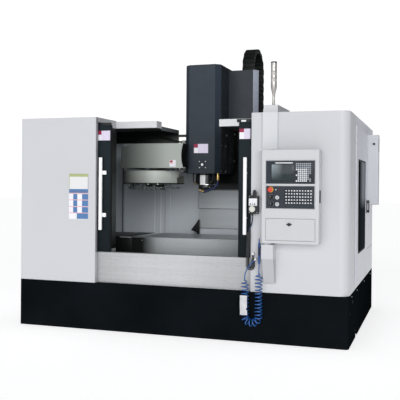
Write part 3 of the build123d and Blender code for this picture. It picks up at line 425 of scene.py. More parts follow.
# ------------------------------------------------------------------ mesh pieces
class Piece:
    """One mesh, built from many shapes in machine millimetres; every shape names its material."""

    def __init__(self, name):
        self.name, self.bm, self.mats = name, bmesh.new(), []

    def _take(self, bm, mat, smooth=True):
        if mat not in self.mats:
            self.mats.append(mat)
        i = self.mats.index(mat)
        bmesh.ops.recalc_face_normals(bm, faces=bm.faces)
        for f in bm.faces:
            f.material_index, f.smooth = i, smooth
        me = bpy.data.meshes.new("part")
        bm.to_mesh(me)
        bm.free()
        self.bm.from_mesh(me)
        bpy.data.meshes.remove(me)

    def box(self, x0, x1, y0, y1, z0, z1, mat, r=0.0, seg=2, turn=None):
        bm = bmesh.new()
        bmesh.ops.create_cube(bm, size=1)
        for v in bm.verts:
            v.co = Vector(((x0 + x1) / 2 + v.co.x * (x1 - x0), (y0 + y1) / 2 + v.co.y * (y1 - y0), (z0 + z1) / 2 + v.co.z * (z1 - z0)))
        if r:
            bmesh.ops.bevel(bm, geom=bm.edges[:], offset=r, segments=seg, profile=0.5, affect="EDGES")
        if turn:
            angle, axis = turn
            bmesh.ops.rotate(bm, verts=bm.verts, cent=((x0 + x1) / 2, (y0 + y1) / 2, (z0 + z1) / 2), matrix=Matrix.Rotation(math.radians(angle), 3, axis))
        for v in bm.verts:
            v.co = P(*v.co)
        self._take(bm, mat)
        return self

    def turned(self, at, axis, profile, mat, n=40, start=0.0):
        """A lathe shape: profile of (radius, distance along axis) in mm."""
        bm = bmesh.new()
        q = Vector((0, 0, 1)).rotation_difference(Vector(axis).normalized())
        rings = []
        for r, h in profile:
            if r < 1e-6:
                rings.append([bm.verts.new(P(*(Vector(at) + q @ Vector((0, 0, h)))))])
            else:
                rings.append([bm.verts.new(P(*(Vector(at) + q @ Vector((r * math.cos(2 * math.pi * k / n + start), r * math.sin(2 * math.pi * k / n + start), h))))) for k in range(n)])
        for a, b in zip(rings, rings[1:]):
            for k in range(n):
                j = (k + 1) % n
                if len(a) == 1 and len(b) == 1:
                    continue
                if len(a) == 1:
                    bm.faces.new((a[0], b[k], b[j]))
                elif len(b) == 1:
                    bm.faces.new((a[k], a[j], b[0]))
                else:
                    bm.faces.new((a[k], a[j], b[j], b[k]))
        if len(rings[0]) > 1:
            bm.faces.new(rings[0])
        if len(rings[-1]) > 1:
            bm.faces.new(rings[-1])
        self._take(bm, mat)
        return self

    def plate(self, pts, thick, mat, r=0.0):
        """A flat plate from points in order, thickened along the vector thick."""
        bm = bmesh.new()
        vs = [bm.verts.new(Vector(p)) for p in pts]
        face = bm.faces.new(vs)
        out = bmesh.ops.extrude_face_region(bm, geom=[face])
        bmesh.ops.translate(bm, verts=[g for g in out["geom"] if isinstance(g, bmesh.types.BMVert)], vec=Vector(thick))
        if r:
            bmesh.ops.bevel(bm, geom=bm.edges[:], offset=r, segments=2, profile=0.5, affect="EDGES")
        for v in bm.verts:
            v.co = P(*v.co)
        self._take(bm, mat)
        return self

    def pipe(self, pts, radius, mat, n=20, cap=True, smoothing=8):
        """A tube along a smooth line through points in mm; radius may be a function of the share along it."""
        p = [Vector(q) for q in pts]
        line = []
        for i in range(len(p) - 1):
            a, b, c, d = p[max(i - 1, 0)], p[i], p[i + 1], p[min(i + 2, len(p) - 1)]
            for k in range(smoothing):
                t = k / smoothing
                line.append(0.5 * ((2 * b) + (c - a) * t + (2 * a - 5 * b + 4 * c - d) * t * t + (3 * b - 3 * c + d - a) * t ** 3))
        line.append(p[-1])
        bm = bmesh.new()
        rings, side = [], None
        for i, c in enumerate(line):
            d = (line[min(i + 1, len(line) - 1)] - line[max(i - 1, 0)]).normalized()
            if side is None:
                side = d.orthogonal().normalized()
            side = (side - d * side.dot(d)).normalized()
            other = d.cross(side)
            r = radius(i / (len(line) - 1)) if callable(radius) else radius
            rings.append([bm.verts.new(P(*(c + side * (r * math.cos(2 * math.pi * k / n)) + other * (r * math.sin(2 * math.pi * k / n))))) for k in range(n)])
        for a, b in zip(rings, rings[1:]):
            for k in range(n):
                j = (k + 1) % n
                bm.faces.new((a[k], a[j], b[j], b[k]))
        if cap:
            bm.faces.new(rings[0])
            bm.faces.new(rings[-1])
        self._take(bm, mat)
        return self

    def screw(self, x, y, z, axis, mat, r=6.0, h=3.5):
        """Socket-head screw: rounded head with a hexagon recess."""
        self.turned((x, y, z), axis, [(r, 0), (r, h * 0.6), (r * 0.85, h), (r * 0.5, h), (r * 0.45, h * 0.45), (0, h * 0.45)], mat, n=18)
        return self

    def done(self, body, replaces=(), angle=35):
        me = bpy.data.meshes.new(self.name)
        bmesh.ops.remove_doubles(self.bm, verts=self.bm.verts, dist=1e-7)
        self.bm.to_mesh(me)
        self.bm.free()
        for mt in self.mats:
            me.materials.append(mt)
        me.set_sharp_from_angle(angle=math.radians(angle))
        ob = bpy.data.objects.new(self.name, me)
        bpy.context.scene.collection.objects.link(ob)
        if body:
            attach(ob, body)
        if replaces:
            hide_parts(*replaces)
        return ob


# ---- left cover: coloured plate ----
p = Piece("left_cover_plate")
x0, x1 = -1136, -917
p.box(x0, x1, -1.2, 0, 1118, 1582, LBL_PALE, r=0.4, seg=1)
p.box(x0, x1, -1.8, -1.1, 1552, 1582, LBL_GREEN, r=0.2, seg=1)
p.box(x0, x0 + 5, -1.7, -1.1, 1424, 1552, LBL_GREEN, r=0.2, seg=1)
p.box(x1 - 4, x1, -1.7, -1.1, 1424, 1552, LBL_BLUE2, r=0.2, seg=1)
p.box(x0, x1, -1.8, -1.1, 1386, 1426, LBL_BLUE, r=0.2, seg=1)
p.box(x0 + 6, x1 - 6, -2.1, -1.7, 1389, 1404, LBL_BLUE2, r=0.2, seg=1)
rows = [(1319, 1376), (1252, 1311), (1186, 1243), (1122, 1178)]
for i, (z0, z1) in enumerate(rows):
    p.box(x0, x1, -1.6, -1.1, z1 + 1, z1 + 7, LBL_PINK, r=0.2, seg=1)
    cells = [(0, 44, 0), (49, 95, 1), (100, 146, 0), (150, 219, 1)] if i < 3 else [(0, 84, 0), (92, 219, 1)]
    for a, c, blue in cells:
        p.box(x0 + a, x0 + c, -1.8, -1.1, z0, z1, LBL_BLUE if blue else LBL_WHITE, r=0.2, seg=1)
p.done("machine")


def field(name, body, x0, x1, z0, z1, y, split=0.42, tall=0.42):
    """Plain colour field with a crimson corner."""
    q = Piece(name)
    w, h = x1 - x0, z1 - z0
    q.box(x0, x1, y - 1.0, y - 0.1, z0, z1, LBL_LILAC, r=0.3, seg=1)
    q.box(x0, x0 + w * split, y - 1.5, y - 0.9, z1 - h * tall, z1, LBL_RED, r=0.2, seg=1)
    q.box(x0, x0 + w * split, y - 1.4, y - 0.9, z0, z1 - h * tall - 2, LBL_WHITE, r=0.2, seg=1)
    return q.done(body)


field("left_post_colour_field", "left_door", -843, -705, 1924, 2023, 60, 0.30, 0.40)
field("right_post_colour_field", "right_door", 656, 764, 1918, 2016, 60, 0.42, 0.34)
field("head_colour_field", "head", -111, 53, 1831, 1932, 950, 0.28, 0.40)

p = Piece("magazine_colour_field")
p.box(-335, -262, 778.9, 779.9, 1676, 1749, LBL_WHITE, r=0.3, seg=1)
p.box(-331, -296, 778.4, 779.0, 1712, 1745, LBL_PINK, r=0.2, seg=1)
p.box(-331, -300, 778.2, 778.6, 1728, 1744, LBL_RED, r=0.2, seg=1)
p.done("machine")

# ---- door posts: handle blocks, hanger, edge folds ----
p = Piece("left_handle_brackets")
for z in (1165, 1596):
    p.box(-792, -741, 42.2, 59.8, z - 20, z + 20, WHITE, r=2.5, seg=3)
    p.screw(-754, 42.4, z, (0, -1, 0), ZINC, r=4.5, h=2.5)
p.done("left_door")
# painted shade: a dark sheet over the left cover's inner side wall
p = Piece("left_pocket_painted_shade")
p.box(-835.2, -833.6, 125, 479.4, 793, 2079, POCKET_SHADE, r=0.5)
p.done("machine")
p = Piece("left_post_folds")
p.box(-845, -841, 57.5, 60.2, 794, 2078, STILE, r=0.8)
p.box(-704, -700.2, 57.5, 60.2, 794, 2078, STILE, r=0.8)
p.box(-700.6, -697, 62, 98, 800, 2070, RUBBER, r=1.2)
p.done("left_door")
p = Piece("right_post_folds")
p.box(652.2, 656, 57.5, 60.2, 794, 2078, STILE, r=0.8)
p.box(649, 652.4, 62, 98, 800, 2070, RUBBER, r=1.2)
p.box(768, 774, 52, 60.2, 800, 2060, STILE, r=1.2)
p.done("right_door")
p = Piece("right_door_hanger")
p.box(632, 787, 49.5, 56.8, 2077, 2108, BLACK, r=2)
p.box(655, 787, 55, 60, 2079, 2106, BLACK, r=1)
p.box(645, 660, 45, 52, 2083, 2101, BLACK, r=1.5)
p.box(676, 724, 44, 51, 2081, 2099, WHITE_PLASTIC, r=2)
for x in (652, 758):
    p.turned((x, 50, 2092), (0, -1, 0), [(9, 0), (9, 4), (7, 6), (0, 6)], BLACK, n=20)
p.done("right_door")
p = Piece("left_door_hanger")
p.box(-835, -702, 62, 70, 2077, 2106, BLACK, r=2)
for x in (-815, -722):
    p.turned((x, 62, 2091), (0, -1, 0), [(9, 0), (9, 4), (7, 6), (0, 6)], BLACK, n=20)
p.done("left_door")

# ---- front sill folds and wear strip ----
p = Piece("sill_trim")
p.box(-833, 788, 41.5, 45.2, 783, 790.5, SILL, r=1.6, seg=3)
p.box(-833, 788, 43.6, 45.2, 478.5, 484, SILL, r=0.7)
p.done("machine")

# ---- head cover: folded seams, plug and screws, chamfer joints ----
p = Piece("head_cover_trim")
p.turned((-14, 950, 1704), (0, -1, 0), [(15, 0), (15, 3), (12.5, 5), (8, 5), (7, 3.4), (0, 3.4)], ZINC, n=32)
for dx in (-35, 35):
    for dz in (-34, 34):
        p.turned((-14 + dx + 3, 950, 1704 + dz), (0, -1, 0), [(6.2, 0), (6.2, 2.2), (4.6, 3.2), (0, 3.2)], ZINC, n=16)
for z0, z1 in ((1606.5, 1612.5), (2803, 2809.5)):
    p.box(-172, 128, 948.6, 950.2, z0, z1, HEAD, r=0.6)
p.box(181, 184.5, 1326, 1688, 2201, 2206, HEAD, r=1.0)
p.box(181, 183.5, 1012, 1019, 1616, 2800, HEAD, r=1.0)
for z in (1700, 1900, 2140):
    p.turned((181, 1010, z), (1, 0, 0), [(5, 0), (5, 2), (3.5, 3), (0, 3)], BLACK, n=16)
for z in (2260, 2480, 2720):
    p.turned((181, 1060, z), (1, 0, 0), [(5, 0), (5, 2), (3.5, 3), (0, 3)], BLACK, n=16)
    p.turned((181, 1290, z), (1, 0, 0), [(5, 0), (5, 2), (3.5, 3), (0, 3)], BLACK, n=16)
p.done("head")
p = Piece("head_side_box_trim")
p.box(184, 459, 1318.4, 1320.2, 2207, 2211, HEAD_BOX, r=0.6)
p.box(184, 459, 1318.4, 1320.2, 2784, 2789.5, HEAD_BOX, r=0.6)
for z in (2240, 2500, 2755):
    p.turned((442, 1480, z), (1, 0, 0), [(6, 0), (6, 2.4), (4, 3.6), (0, 3.6)], ZINC, n=16)
    p.turned((212, 1320, z), (0, -1, 0), [(5, 0), (5, 2), (3.5, 3), (0, 3)], BLACK, n=16)
q = 0.70710678
# corner face of the side box in the painted-light grey
p.plate([(462 + 0.8, 1321 - 0.8, 2207), (511 + 0.8, 1370 - 0.8, 2207), (511 + 0.8, 1370 - 0.8, 2789), (462 + 0.8, 1321 - 0.8, 2789)], (1.6 * q, -1.6 * q, 0), CHAMFER, r=0.4)
p.box(511.6, 514, 1371, 1386, 2207, 2789, CHAMFER, r=0.5)
p.done("head")
p = Piece("head_casting_bolts")
for y, z in ((1267, 2043), (1048, 1918), (1230, 1918), (1048, 1632), (1238, 1630), (1600, 2080), (1600, 1760)):
    p.turned((169, y, z), (1, 0, 0), [(11, 0), (11, 1.5), (8.5, 1.5), (8.5, 7), (7.4, 8.5), (4.2, 8.5), (4.0, 4), (0, 4)], ZINC, n=24)
p.box(169, 175, 1330, 1560, 1690, 2020, CAST_DARK, r=2)
for y in (1345, 1545):
    for z in (1705, 2005):
        p.screw(175, y, z, (1, 0, 0), BLACK, r=5)
p.done("head")

# ---- spindle cartridge: rings, air and coolant lines ----
p = Piece("spindle_cartridge_rings")
S = (-22, 1130, 0)
p.turned((-22, 1130, 1478), (0, 0, 1), [(104.2, 0), (106.5, 1.2), (106.5, 9), (104.2, 10.5)], STEEL, n=72)
p.turned((-22, 1130, 1588), (0, 0, 1), [(104.1, 0), (108, 2), (108, 14), (104.1, 16)], CAST_DARK, n=72)
for k in range(8):
    a = math.radians(22.5 + 45 * k)
    p.turned((-22 + 92 * math.cos(a), 1130 + 92 * math.sin(a), 1478), (0, 0, -1), [(6, -0.2), (6, 3), (5, 4), (2.6, 4), (2.5, 1.5), (0, 1.5)], BLACK, n=14)

# painted highlight: a bright strip on the front of the dark cartridge stands for the light reflected there
bm = bmesh.new()
cols = []
for k in range(13):
    a = math.radians(-90 - 23.5 + (35) * k / 12)
    cols.append([bm.verts.new(P(-22 + r * math.cos(a), 1130 + r * math.sin(a), z)) for r, z in ((104.5, 1480), (106.8, 1480.6), (106.8, 1603.4), (104.5, 1604))])
for a, b in zip(cols, cols[1:]):
    for k in range(4):
        bm.faces.new((a[k], a[(k + 1) % 4], b[(k + 1) % 4], b[k]))
bm.faces.new(cols[0])
bm.faces.new(cols[-1])
p._take(bm, SPINDLE_HIGHLIGHT)
p.done("head")
p = Piece("spindle_nose_ring")
p.turned((-22, 1130, 1455), (0, 0, -1), [(63, -0.4), (63.6, -6), (64.4, -8), (64.4, -14), (63.8, -16)], NOSE, n=64)
for k in (0, 1):
    a = math.pi * k
    p.box(-22 + 38 * math.cos(a) - 10, -22 + 38 * math.cos(a) + 10, 1122, 1138, 1451, 1456, STEEL, r=1.2)
p.done("spindle")

p = Piece("coolant_line")
p.turned((158, 985, 1606), (0, 0, -1), [(11, -0.5), (11, 20), (18, 22), (18, 44), (16, 46), (14, 48), (14, 52), (18, 54), (18, 68), (15, 76), (12, 80)], BRASS, n=6 * 6)
p.pipe([(158, 985, 1536), (156, 985, 1505), (143, 985, 1472), (100, 985, 1438), (45, 985, 1415), (-10, 985, 1404)],
       lambda t: 13.4 - 1.4 * (0.5 + 0.5 * math.cos(t * 13 * 2 * math.pi)), CORD_BLUE, n=24, smoothing=26)
d = Vector((-0.93, 0, 0.36)).normalized()
p.turned((-12, 985, 1407), tuple(d), [(12.6, -8), (15, -6), (15, 8), (12, 12), (10.4, 26), (9.2, 50), (5.5, 53), (5.2, 30), (0, 30)], BRASS, n=30)
p.turned((8, 985, 1404), tuple(d), [(12, -10), (16, -8), (16, 6), (12, 8)], BLACK, n=6)
p.done("head", replaces=["coolant_nozzle"])
p = Piece("spindle_air_lines")
p.pipe([(-142, 1030, 1606), (-142, 1024, 1560), (-136, 1016, 1520), (-120, 1012, 1500)], 5.5, BLACK, n=16)
p.turned((-142, 1030, 1606), (0, 0, -1), [(10, -0.5), (10, 14), (8, 18), (6, 20)], BLACK, n=6)
p.turned((-120, 1012, 1500), (0.55, 0.35, -0.75), [(8, -6), (8, 10), (4, 24), (2.5, 26)], BRASS, n=20)
p.pipe([(96, 1010, 1606), (97, 1004, 1570), (92, 1000, 1536), (78, 1002, 1512)], 5.5, BLACK, n=16)
p.turned((96, 1010, 1606), (0, 0, -1), [(10, -0.5), (10, 14), (8, 18), (6, 20)], BLACK, n=6)
p.turned((78, 1002, 1512), (-0.6, 0.4, -0.7), [(7, -6), (7, 8), (3.5, 20), (2.2, 22)], BRASS, n=20)
p.done("head")

# ---- cable chain: side links, cross bars, end brackets ----
p = Piece("cable_chain_links")


def chain_at(s):
    """Centre line in the Y-Z plane, from the head up, over and down to the shelf."""
    front, arc = 2840 - 2792, math.pi * 230
    if s < front:
        return (1480, 2792 + s), 90
    s -= front
    if s < arc:
        a = math.pi - s / 230
        return (1710 + 230 * math.cos(a), 2840 + 230 * math.sin(a)), math.degrees(a) - 90
    s -= arc
    return (1940, 2840 - s), -90


pitch, total = 52.0, (2840 - 2792) + math.pi * 230 + (2840 - 1905)
count = int(total / pitch)
for k in range(count):
    s = pitch * (k + 0.5)
    (y, z), deg = chain_at(s)
    a = math.radians(deg)
    t, nrm = Vector((0, math.cos(a), math.sin(a))), Vector((0, -math.sin(a), math.cos(a)))
    c = Vector((0, y, z))
    wide = 3.5 if k % 2 else 0.0
    for x0, x1 in ((298.5 + wide, 305 + wide), (430 - wide, 436.5 - wide)):
        outline = []
        for j in range(16):
            q = 2 * math.pi * j / 16
            ext = 33.5 if abs(math.cos(q)) > 0.7 else 30
            outline.append(c + t * (math.copysign(abs(math.cos(q)) ** 0.55, math.cos(q)) * ext) + nrm * (math.copysign(abs(math.sin(q)) ** 0.6, math.sin(q)) * 23.0))
        p.plate([(x0, o.y, o.z) for o in outline], (x1 - x0, 0, 0), CHAIN)
    # pivot pins and windows seen from the side
    for x, sx in ((436.3 - wide, 1), (298.7 + wide, -1)):
        pin = c - t * 20
        p.turned((x, pin.y, pin.z), (sx, 0, 0), [(8.5, -0.5), (8.5, 0.6), (7, 0.7), (0, 0.7)], CHAIN_GREY if k % 2 else CHAIN, n=14)
        mid = c + t * 8 - nrm * 17
        p.turned((x, mid.y, mid.z), (sx, 0, 0), [(5.0, -0.5), (5.0, 0.6), (0, 0.6)], CHAIN_GREY, n=12)
    for side, half, thick in ((20.5, 13, 2.6), (-20.5, 13, 2.6), (0, 25.6, 15.5)):
        b = c + nrm * side
        q = Piece("x")
        q.box(304.8, 430.2, b.y - half, b.y + half, b.z - thick, b.z + thick, CHAIN, r=1.6, turn=(math.degrees(math.atan2(t.z, t.y)), "X"))
        me = bpy.data.meshes.new("bar")
        q.bm.to_mesh(me)
        q.bm.free()
        i = p.mats.index(CHAIN)
        for f in me.polygons:
            f.material_index = i
        p.bm.from_mesh(me)
        bpy.data.meshes.remove(me)
# cables inside
for x, rr, mt in ((325, 8, BLACK), (349, 10, RUBBER), (373, 7, BLACK), (395, 9, BLACK), (414, 6, RUBBER)):
    pts = []
    for k in range(0, 41):
        (y, z), _ = chain_at(6 + (total - 12) * k / 40)
        pts.append((x, y, z))
    p.pipe(pts, rr, mt, n=10, smoothing=2)
p.box(300, 435, 1462, 1498, 2790.5, 2808, BLACK, r=2)
p.box(300, 435, 1922, 1958, 1900.5, 1922, ZINC, r=2)
chain = p.done(None, replaces=["cable_chain"])
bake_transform(chain)

# ---- telescopic way cover: folded lips ----
for name, body, x0, x1, y, zs in (("upper_way_cover_lips", "head", -322, 278, 1745, (1190, 1420)),
                                  ("middle_way_cover_lips", "z_cover", -316, 272, 1752, (950,)),
                                  ("lower_way_cover_lips", "machine", -310, 266, 1759, (700,))):
    p = Piece(name)
    for z in zs:
        p.box(x0, x1, y - 4, y + 0.2, z, z + 5, STEEL_SHEET, r=1.2)
        p.box(x0 + 2, x1 - 2, y - 6, y - 3.5, z - 2, z + 1.5, RUBBER, r=0.8)
    p.box(x0, x0 + 3.5, y - 5, y + 0.2, zs[0], 1645 if body == "head" else (1296 if body == "z_cover" else 1066), STEEL_SHEET, r=1)
    p.box(x1 - 3.5, x1, y - 5, y + 0.2, zs[0], 1645 if body == "head" else (1296 if body == "z_cover" else 1066), STEEL_SHEET, r=1)
    p.done(body)
p = Piece("way_cover_side_guard")
p.plate([(-300, 1699, 1063), (-402, 1699, 925), (-340, 1699, 905), (-298, 1699, 866)], (0, 8, 0), BLACK, r=1.0)
p.box(-306, -298, 1699, 1734, 880, 1050, BLACK, r=1.0)
p.box(-352, -336, 1700, 1858, 906, 916, BLACK, r=1.0)
p.done("machine")

# ---- inside the chamber: ribs, seams, screws, chip nozzle ----
p = Piece("chamber_details")
p.box(-803, -799, 1841, 1860, 700, 1975, SEAM_AND_PAINTED_LIGHT, r=0.8)
# painted highlights on the edges of the back-wall rib
p.box(-948, -943, 1857.0, 1860, 690, 1975, RIB_HIGHLIGHT, r=0.8)
p.box(-867, -860, 1856.0, 1860, 690, 1975, RIB_HIGHLIGHT, r=1.2)
p.box(-1394, -1386, 1850, 1857, 690, 1975, RUBBER, r=1.2)
p.box(-1379, -1374, 1856, 1860, 690, 1975, SEAM_AND_PAINTED_LIGHT, r=0.8)
p.box(560, 564, 1857.5, 1860, 690, 1975, SEAM_AND_PAINTED_LIGHT, r=0.6)
for x in (-1377, -1160, -560, -400, 420, 760, 1100):
    for z in (780, 1148, 1700):
        p.turned((x, 1860, z), (0, -1, 0), [(6, -0.3), (6, 2), (4, 3.2), (0, 3.2)], BLACK if x == -1377 else ZINC, n=16)
for z in (1000, 1500):
    for y in (560, 900, 1240, 1580):
        p.turned((-1397, y, z), (1, 0, 0), [(6, -0.3), (6, 2), (4, 3.2), (0, 3.2)], ZINC, n=16)
p.box(-1396.5, -1390, 1852, 1859, 690, 1975, SEAM_AND_PAINTED_LIGHT, r=1.5)
p.box(-1397, -1394, 1150, 1154, 690, 2080, SEAM_AND_PAINTED_LIGHT, r=0.6)
p.done("machine")
p = Piece("chip_flush_nozzles")
for x, y in ((-1180, 1190), (-1060, 1210)):
    p.turned((x, y, 655), (0, 0, 1), [(16, 0), (16, 12), (11, 16), (11, 34), (14, 36), (14, 50), (8, 54), (8, 62)], ZINC, n=24)
p.pipe([(-1390, 1235, 700), (-1300, 1228, 706), (-1180, 1215, 712), (-1060, 1210, 708), (-960, 1212, 690)], 11, ZINC, n=18)
p.done("machine")

# ---- table: T-slot edges stay as they are; apron screws and the table's own end plates ----
p = Piece("apron_screws")
for x, y in ((-640, 862), (-420, 862), (560, 862), (220, 862)):
    p.turned((x, 744, y), (0, -1, 0), [(6.5, -0.2), (6.5, 2), (4.5, 3.4), (0, 3.4)], ZINC, n=18)
p.box(-760, 716, 741.2, 744.2, 893, 899.6, STEEL_SHEET, r=1.0)
p.box(-760, 716, 742, 744.2, 700, 704, STEEL_SHEET, r=0.8)
p.done("table")
p = Piece("table_edges")
p.box(-672.4, -669, 800, 1440, 786, 866, CAST, r=1.2)
p.box(625, 628.4, 800, 1440, 786, 866, CAST, r=1.2)
for y in (860, 1120, 1380):
    for x, sx in ((-672.4, -1), (628.4, 1)):
        p.turned((x, y, 826), (sx, 0, 0), [(9, -0.5), (9, 3), (7, 5), (0, 5)], ZINC, n=18)
p.done("table")

# ---- magazine: rims, ribs, cylinder, finger tips ----
p = Piece("magazine_cover_trim")
p.box(-800, -152, 777.6, 780.2, 1662, 1667, MAG, r=0.8)
p.box(-800, -262, 777.8, 780.2, 1928, 1932.6, MAG, r=0.8)
for x in (-780, -520, -300):
    p.turned((x, 860, 1933), (0, 0, 1), [(7, -0.3), (7, 3), (5, 4.5), (0, 4.5)], ZINC, n=18)
for z in (1700, 1800, 1895):
    p.turned((-780, 780, z), (0, -1, 0), [(4.5, -0.2), (4.5, 1.5), (3, 2.4), (0, 2.4)], MAG, n=16)
p.done("machine")
p = Piece("magazine_actuator")
p.box(-292, -246, 905, 955, 1640, 1661.5, BLACK, r=3)
p.turned((-276, 925, 1652), (1, -0.2, -0.42), [(13, -8), (13, 42), (10, 46), (6, 47), (6, 70)], ZINC, n=28)
p.turned((-209, 912, 1624), (1, -0.2, -0.42), [(9, -4), (11, -2), (11, 10), (9, 12), (0, 12)], BLACK, n=24)
p.turned((-262, 900, 1655), (0, -1, 0), [(9, 0), (9, 8), (6, 10), (0, 10)], STEEL, n=20)
p.done("machine")
# painted shade: a black wall along the open concave end of the magazine cover, for its dark inside
p = Piece("magazine_mouth_painted_shade")
bm = bmesh.new()
rows_ = []
for j in range(17):
    z = 1664 + (1930 - 1664) * j / 16
    x = 213 - math.sqrt(413.0 ** 2 - (z - 1800.0) ** 2) + 2.5
    rows_.append([bm.verts.new(P(x, y, z)) for y in (783.6, 850, 923)] + [bm.verts.new(P(x + 3, y, z)) for y in (923, 850, 783.6)])
for a, b in zip(rows_, rows_[1:]):
    for k in range(6):
        bm.faces.new((a[k], a[(k + 1) % 6], b[(k + 1) % 6], b[k]))
bm.faces.new(rows_[0])
bm.faces.new(rows_[-1])
p._take(bm, MAG_MOUTH)
p.done("machine")
for name, body, end, z0, z1 in (("drum_guard_strip", "magazine", -15, 1561, 1603.6), ("drum_guard_strip_upper", "machine", -8, 1603.9, 1634)):
    p = Piece(name)
    bm = bmesh.new()
    cols = []
    for k in range(15):
        a = math.radians(-32.6 + (end + 32.6) * k / 14)
        cols.append([bm.verts.new(P(-662 + r * math.cos(a), 1130 + r * math.sin(a), z)) for r, z in ((350, z0), (350, z1), (347, z1), (347, z0))])
    for a, b in zip(cols, cols[1:]):
        for k in range(4):
            bm.faces.new((a[k], a[(k + 1) % 4], b[(k + 1) % 4], b[k]))
    bm.faces.new(cols[0])
    bm.faces.new(cols[-1])
    p._take(bm, DRUM)
    if body == "machine":
        for deg in (-29, -12):
            a = math.radians(deg)
            x, y = -662 + 344 * math.cos(a), 1130 + 344 * math.sin(a)
            p.box(x - 6, x + 6, y - 1.2, y + 1.2, 1630, 1664, BLACK, r=0.5)
    p.done(body)
p = Piece("magazine_drum_rim")
n = 160
bm_pts = []
for k in range(n + 1):
    a = math.radians(21 + (339 - 21) * k / n)
    bm_pts.append((-662 + 349.2 * math.cos(a), 1130 + 349.2 * math.sin(a)))
p.pipe([(x, y, 1492) for x, y in bm_pts[::4]], 6.5, RUBBER, n=12, smoothing=3)
p.pipe([(x, y, 1633) for x, y in [(-662 + 348.2 * math.cos(math.radians(100 + (326 - 100) * k / 60)), 1130 + 348.2 * math.sin(math.radians(100 + (326 - 100) * k / 60))) for k in range(61)]], 2.4, MAG, n=10, smoothing=2)
for deg in (281, 300):
    a = math.radians(deg)
    x, y = -662 + 322 * math.cos(a), 1130 + 322 * math.sin(a)
    p.turned((x, y, 1478), (0, 0, 1), [(12, 0), (17, 3), (17, 14), (13, 17), (6, 19), (6, 32)], STEEL_BRIGHT, n=28)
for k in range(2, 10):
    a = math.radians(60 + 24 * k)
    x, y = -662 + 351 * math.cos(a), 1130 + 351 * math.sin(a)
    p.turned((x, y, 1615), (math.cos(a), math.sin(a), 0), [(5, -1), (5, 0.8), (3.5, 1.8), (0, 1.8)], MAG, n=16)
p.done("magazine")
p = Piece("carousel_fingers")
for k in range(16):
    a = math.radians(22.5 * k)
    q = math.radians(22.5 * k + 8.2)
    for s in (-1, 1):
        b = math.radians(22.5 * k + s * 6.6)
        x, y = -662 + 272 * math.cos(b), 1130 + 272 * math.sin(b)
        p.turned((x, y, 1450), (0, 0, 1), [(6, -0.4), (6, 2.6), (4.5, 3.8), (0, 3.8)], ZINC, n=14)
p.turned((-662, 1130, 1475), (0, 0, 1), [(56, 0), (70, 2), (70, 10), (56, 12)], ZINC, n=48)
for k in range(6):
    a = math.radians(60 * k)
    p.turned((-662 + 96 * math.cos(a), 1130 + 96 * math.sin(a), 1475), (0, 0, 1), [(9, -0.4), (9, 6), (7, 8), (0, 8)], ZINC, n=18)
p.done("carousel")
p = Piece("conduit_glands")
p.turned((-262, 1100, 1966), (-1, 0, 0), [(15, 0), (15, 12), (13, 14), (13, 30), (16, 31), (16, 44), (12.5, 50)], BLACK, n=28)
p.turned((-995, 1100, 1712), (0, 0, 1), [(17, 0), (17, 10), (14, 12), (14, 24), (12.5, 30)], BLACK, n=28)
p.done("machine")

# ---- right side: door edge, window gasket, handle, seams, bolts ----
XR = 1700
p = Piece("side_window_gasket")


def frame_ring(x, y0, y1, z0, z1, rad, wide, thick, mat, corners=(1, 1, 1, 1)):
    """Gasket ring in a plane of constant X, its lower corners round."""
    bm = bmesh.new()

    def loop(inset, xx):
        out = []
        spec = [(y0, z0, 180, 270), (y1, z0, 270, 360), (y1, z1, 0, 90), (y0, z1, 90, 180)]
        for (cy, cz, a0, a1), on in zip(spec, corners):
            rr = max(2.0, (rad if on else 6.0) - inset)
            sy, sz = (1 if cy == y0 else -1), (1 if cz == z0 else -1)
            oy, oz = cy + sy * (inset + rr), cz + sz * (inset + rr)
            for k in range(9):
                a = math.radians(a0 + (a1 - a0) * k / 8)
                out.append(bm.verts.new(P(xx, oy + rr * math.cos(a), oz + rr * math.sin(a))))
        return out
    a, b, c, d2 = loop(0, x), loop(0, x + thick), loop(wide, x + thick), loop(wide, x)
    for r0, r1 in ((a, b), (b, c), (c, d2), (d2, a)):
        for k in range(len(r0)):
            j = (k + 1) % len(r0)
            bm.faces.new((r0[k], r0[j], r1[j], r1[k]))
    return bm, mat


for args in ((1709.0, 636, 1352, 808, 1743, 60, 15, 6.0, RUBBER, (1, 1, 0, 0)),):
    bm, mt = frame_ring(*args)
    p._take(bm, mt)
p.done("side_door")
p = Piece("side_door_details")
for y0, y1, z0, z1 in ((495, 1592, 545, 549), (495, 1592, 2061, 2065), (495, 499, 545, 2065), (1588, 1592, 545, 2065)):
    p.box(1710.5, 1713.6, y0, y1, z0, z1, PAINT_SIDE, r=1.0)
p.box(1712, 1722, 1500, 1524, 1180, 1330, BLACK, r=4)
p.box(1720, 1736, 1503, 1521, 1190, 1216, BLACK, r=3)
p.box(1720, 1736, 1503, 1521, 1294, 1320, BLACK, r=3)
p.box(1733, 1744, 1502, 1522, 1186, 1324, BLACK, r=4, seg=3)
p.box(1703.5, 1708.5, 1330, 1346, 1500, 1540, BLACK, r=2)
p.done("side_door")
p = Piece("side_panel_details")
p.box(1698.5, 1701.2, 1635, 2412, 768, 772, SEAM, r=0.6)
p.box(1698.5, 1701.2, 1633, 1637, 482, 770, SEAM, r=0.6)
p.box(1699.2, 1701, 1603, 1606, 772, 1271, SEAM_AND_PAINTED_LIGHT, r=0.4)
p.box(1699.2, 1700.8, 478.6, 481.4, 480, 2158, SEAM_AND_PAINTED_LIGHT, r=0.4)
for y, z in ((706, 445), (1428, 443), (2150, 441), (240, 447)):
    p.turned((1700, y, z), (1, 0, 0), [(7, -0.5), (7, 2.5), (5, 4), (0, 4)], ZINC, n=18)
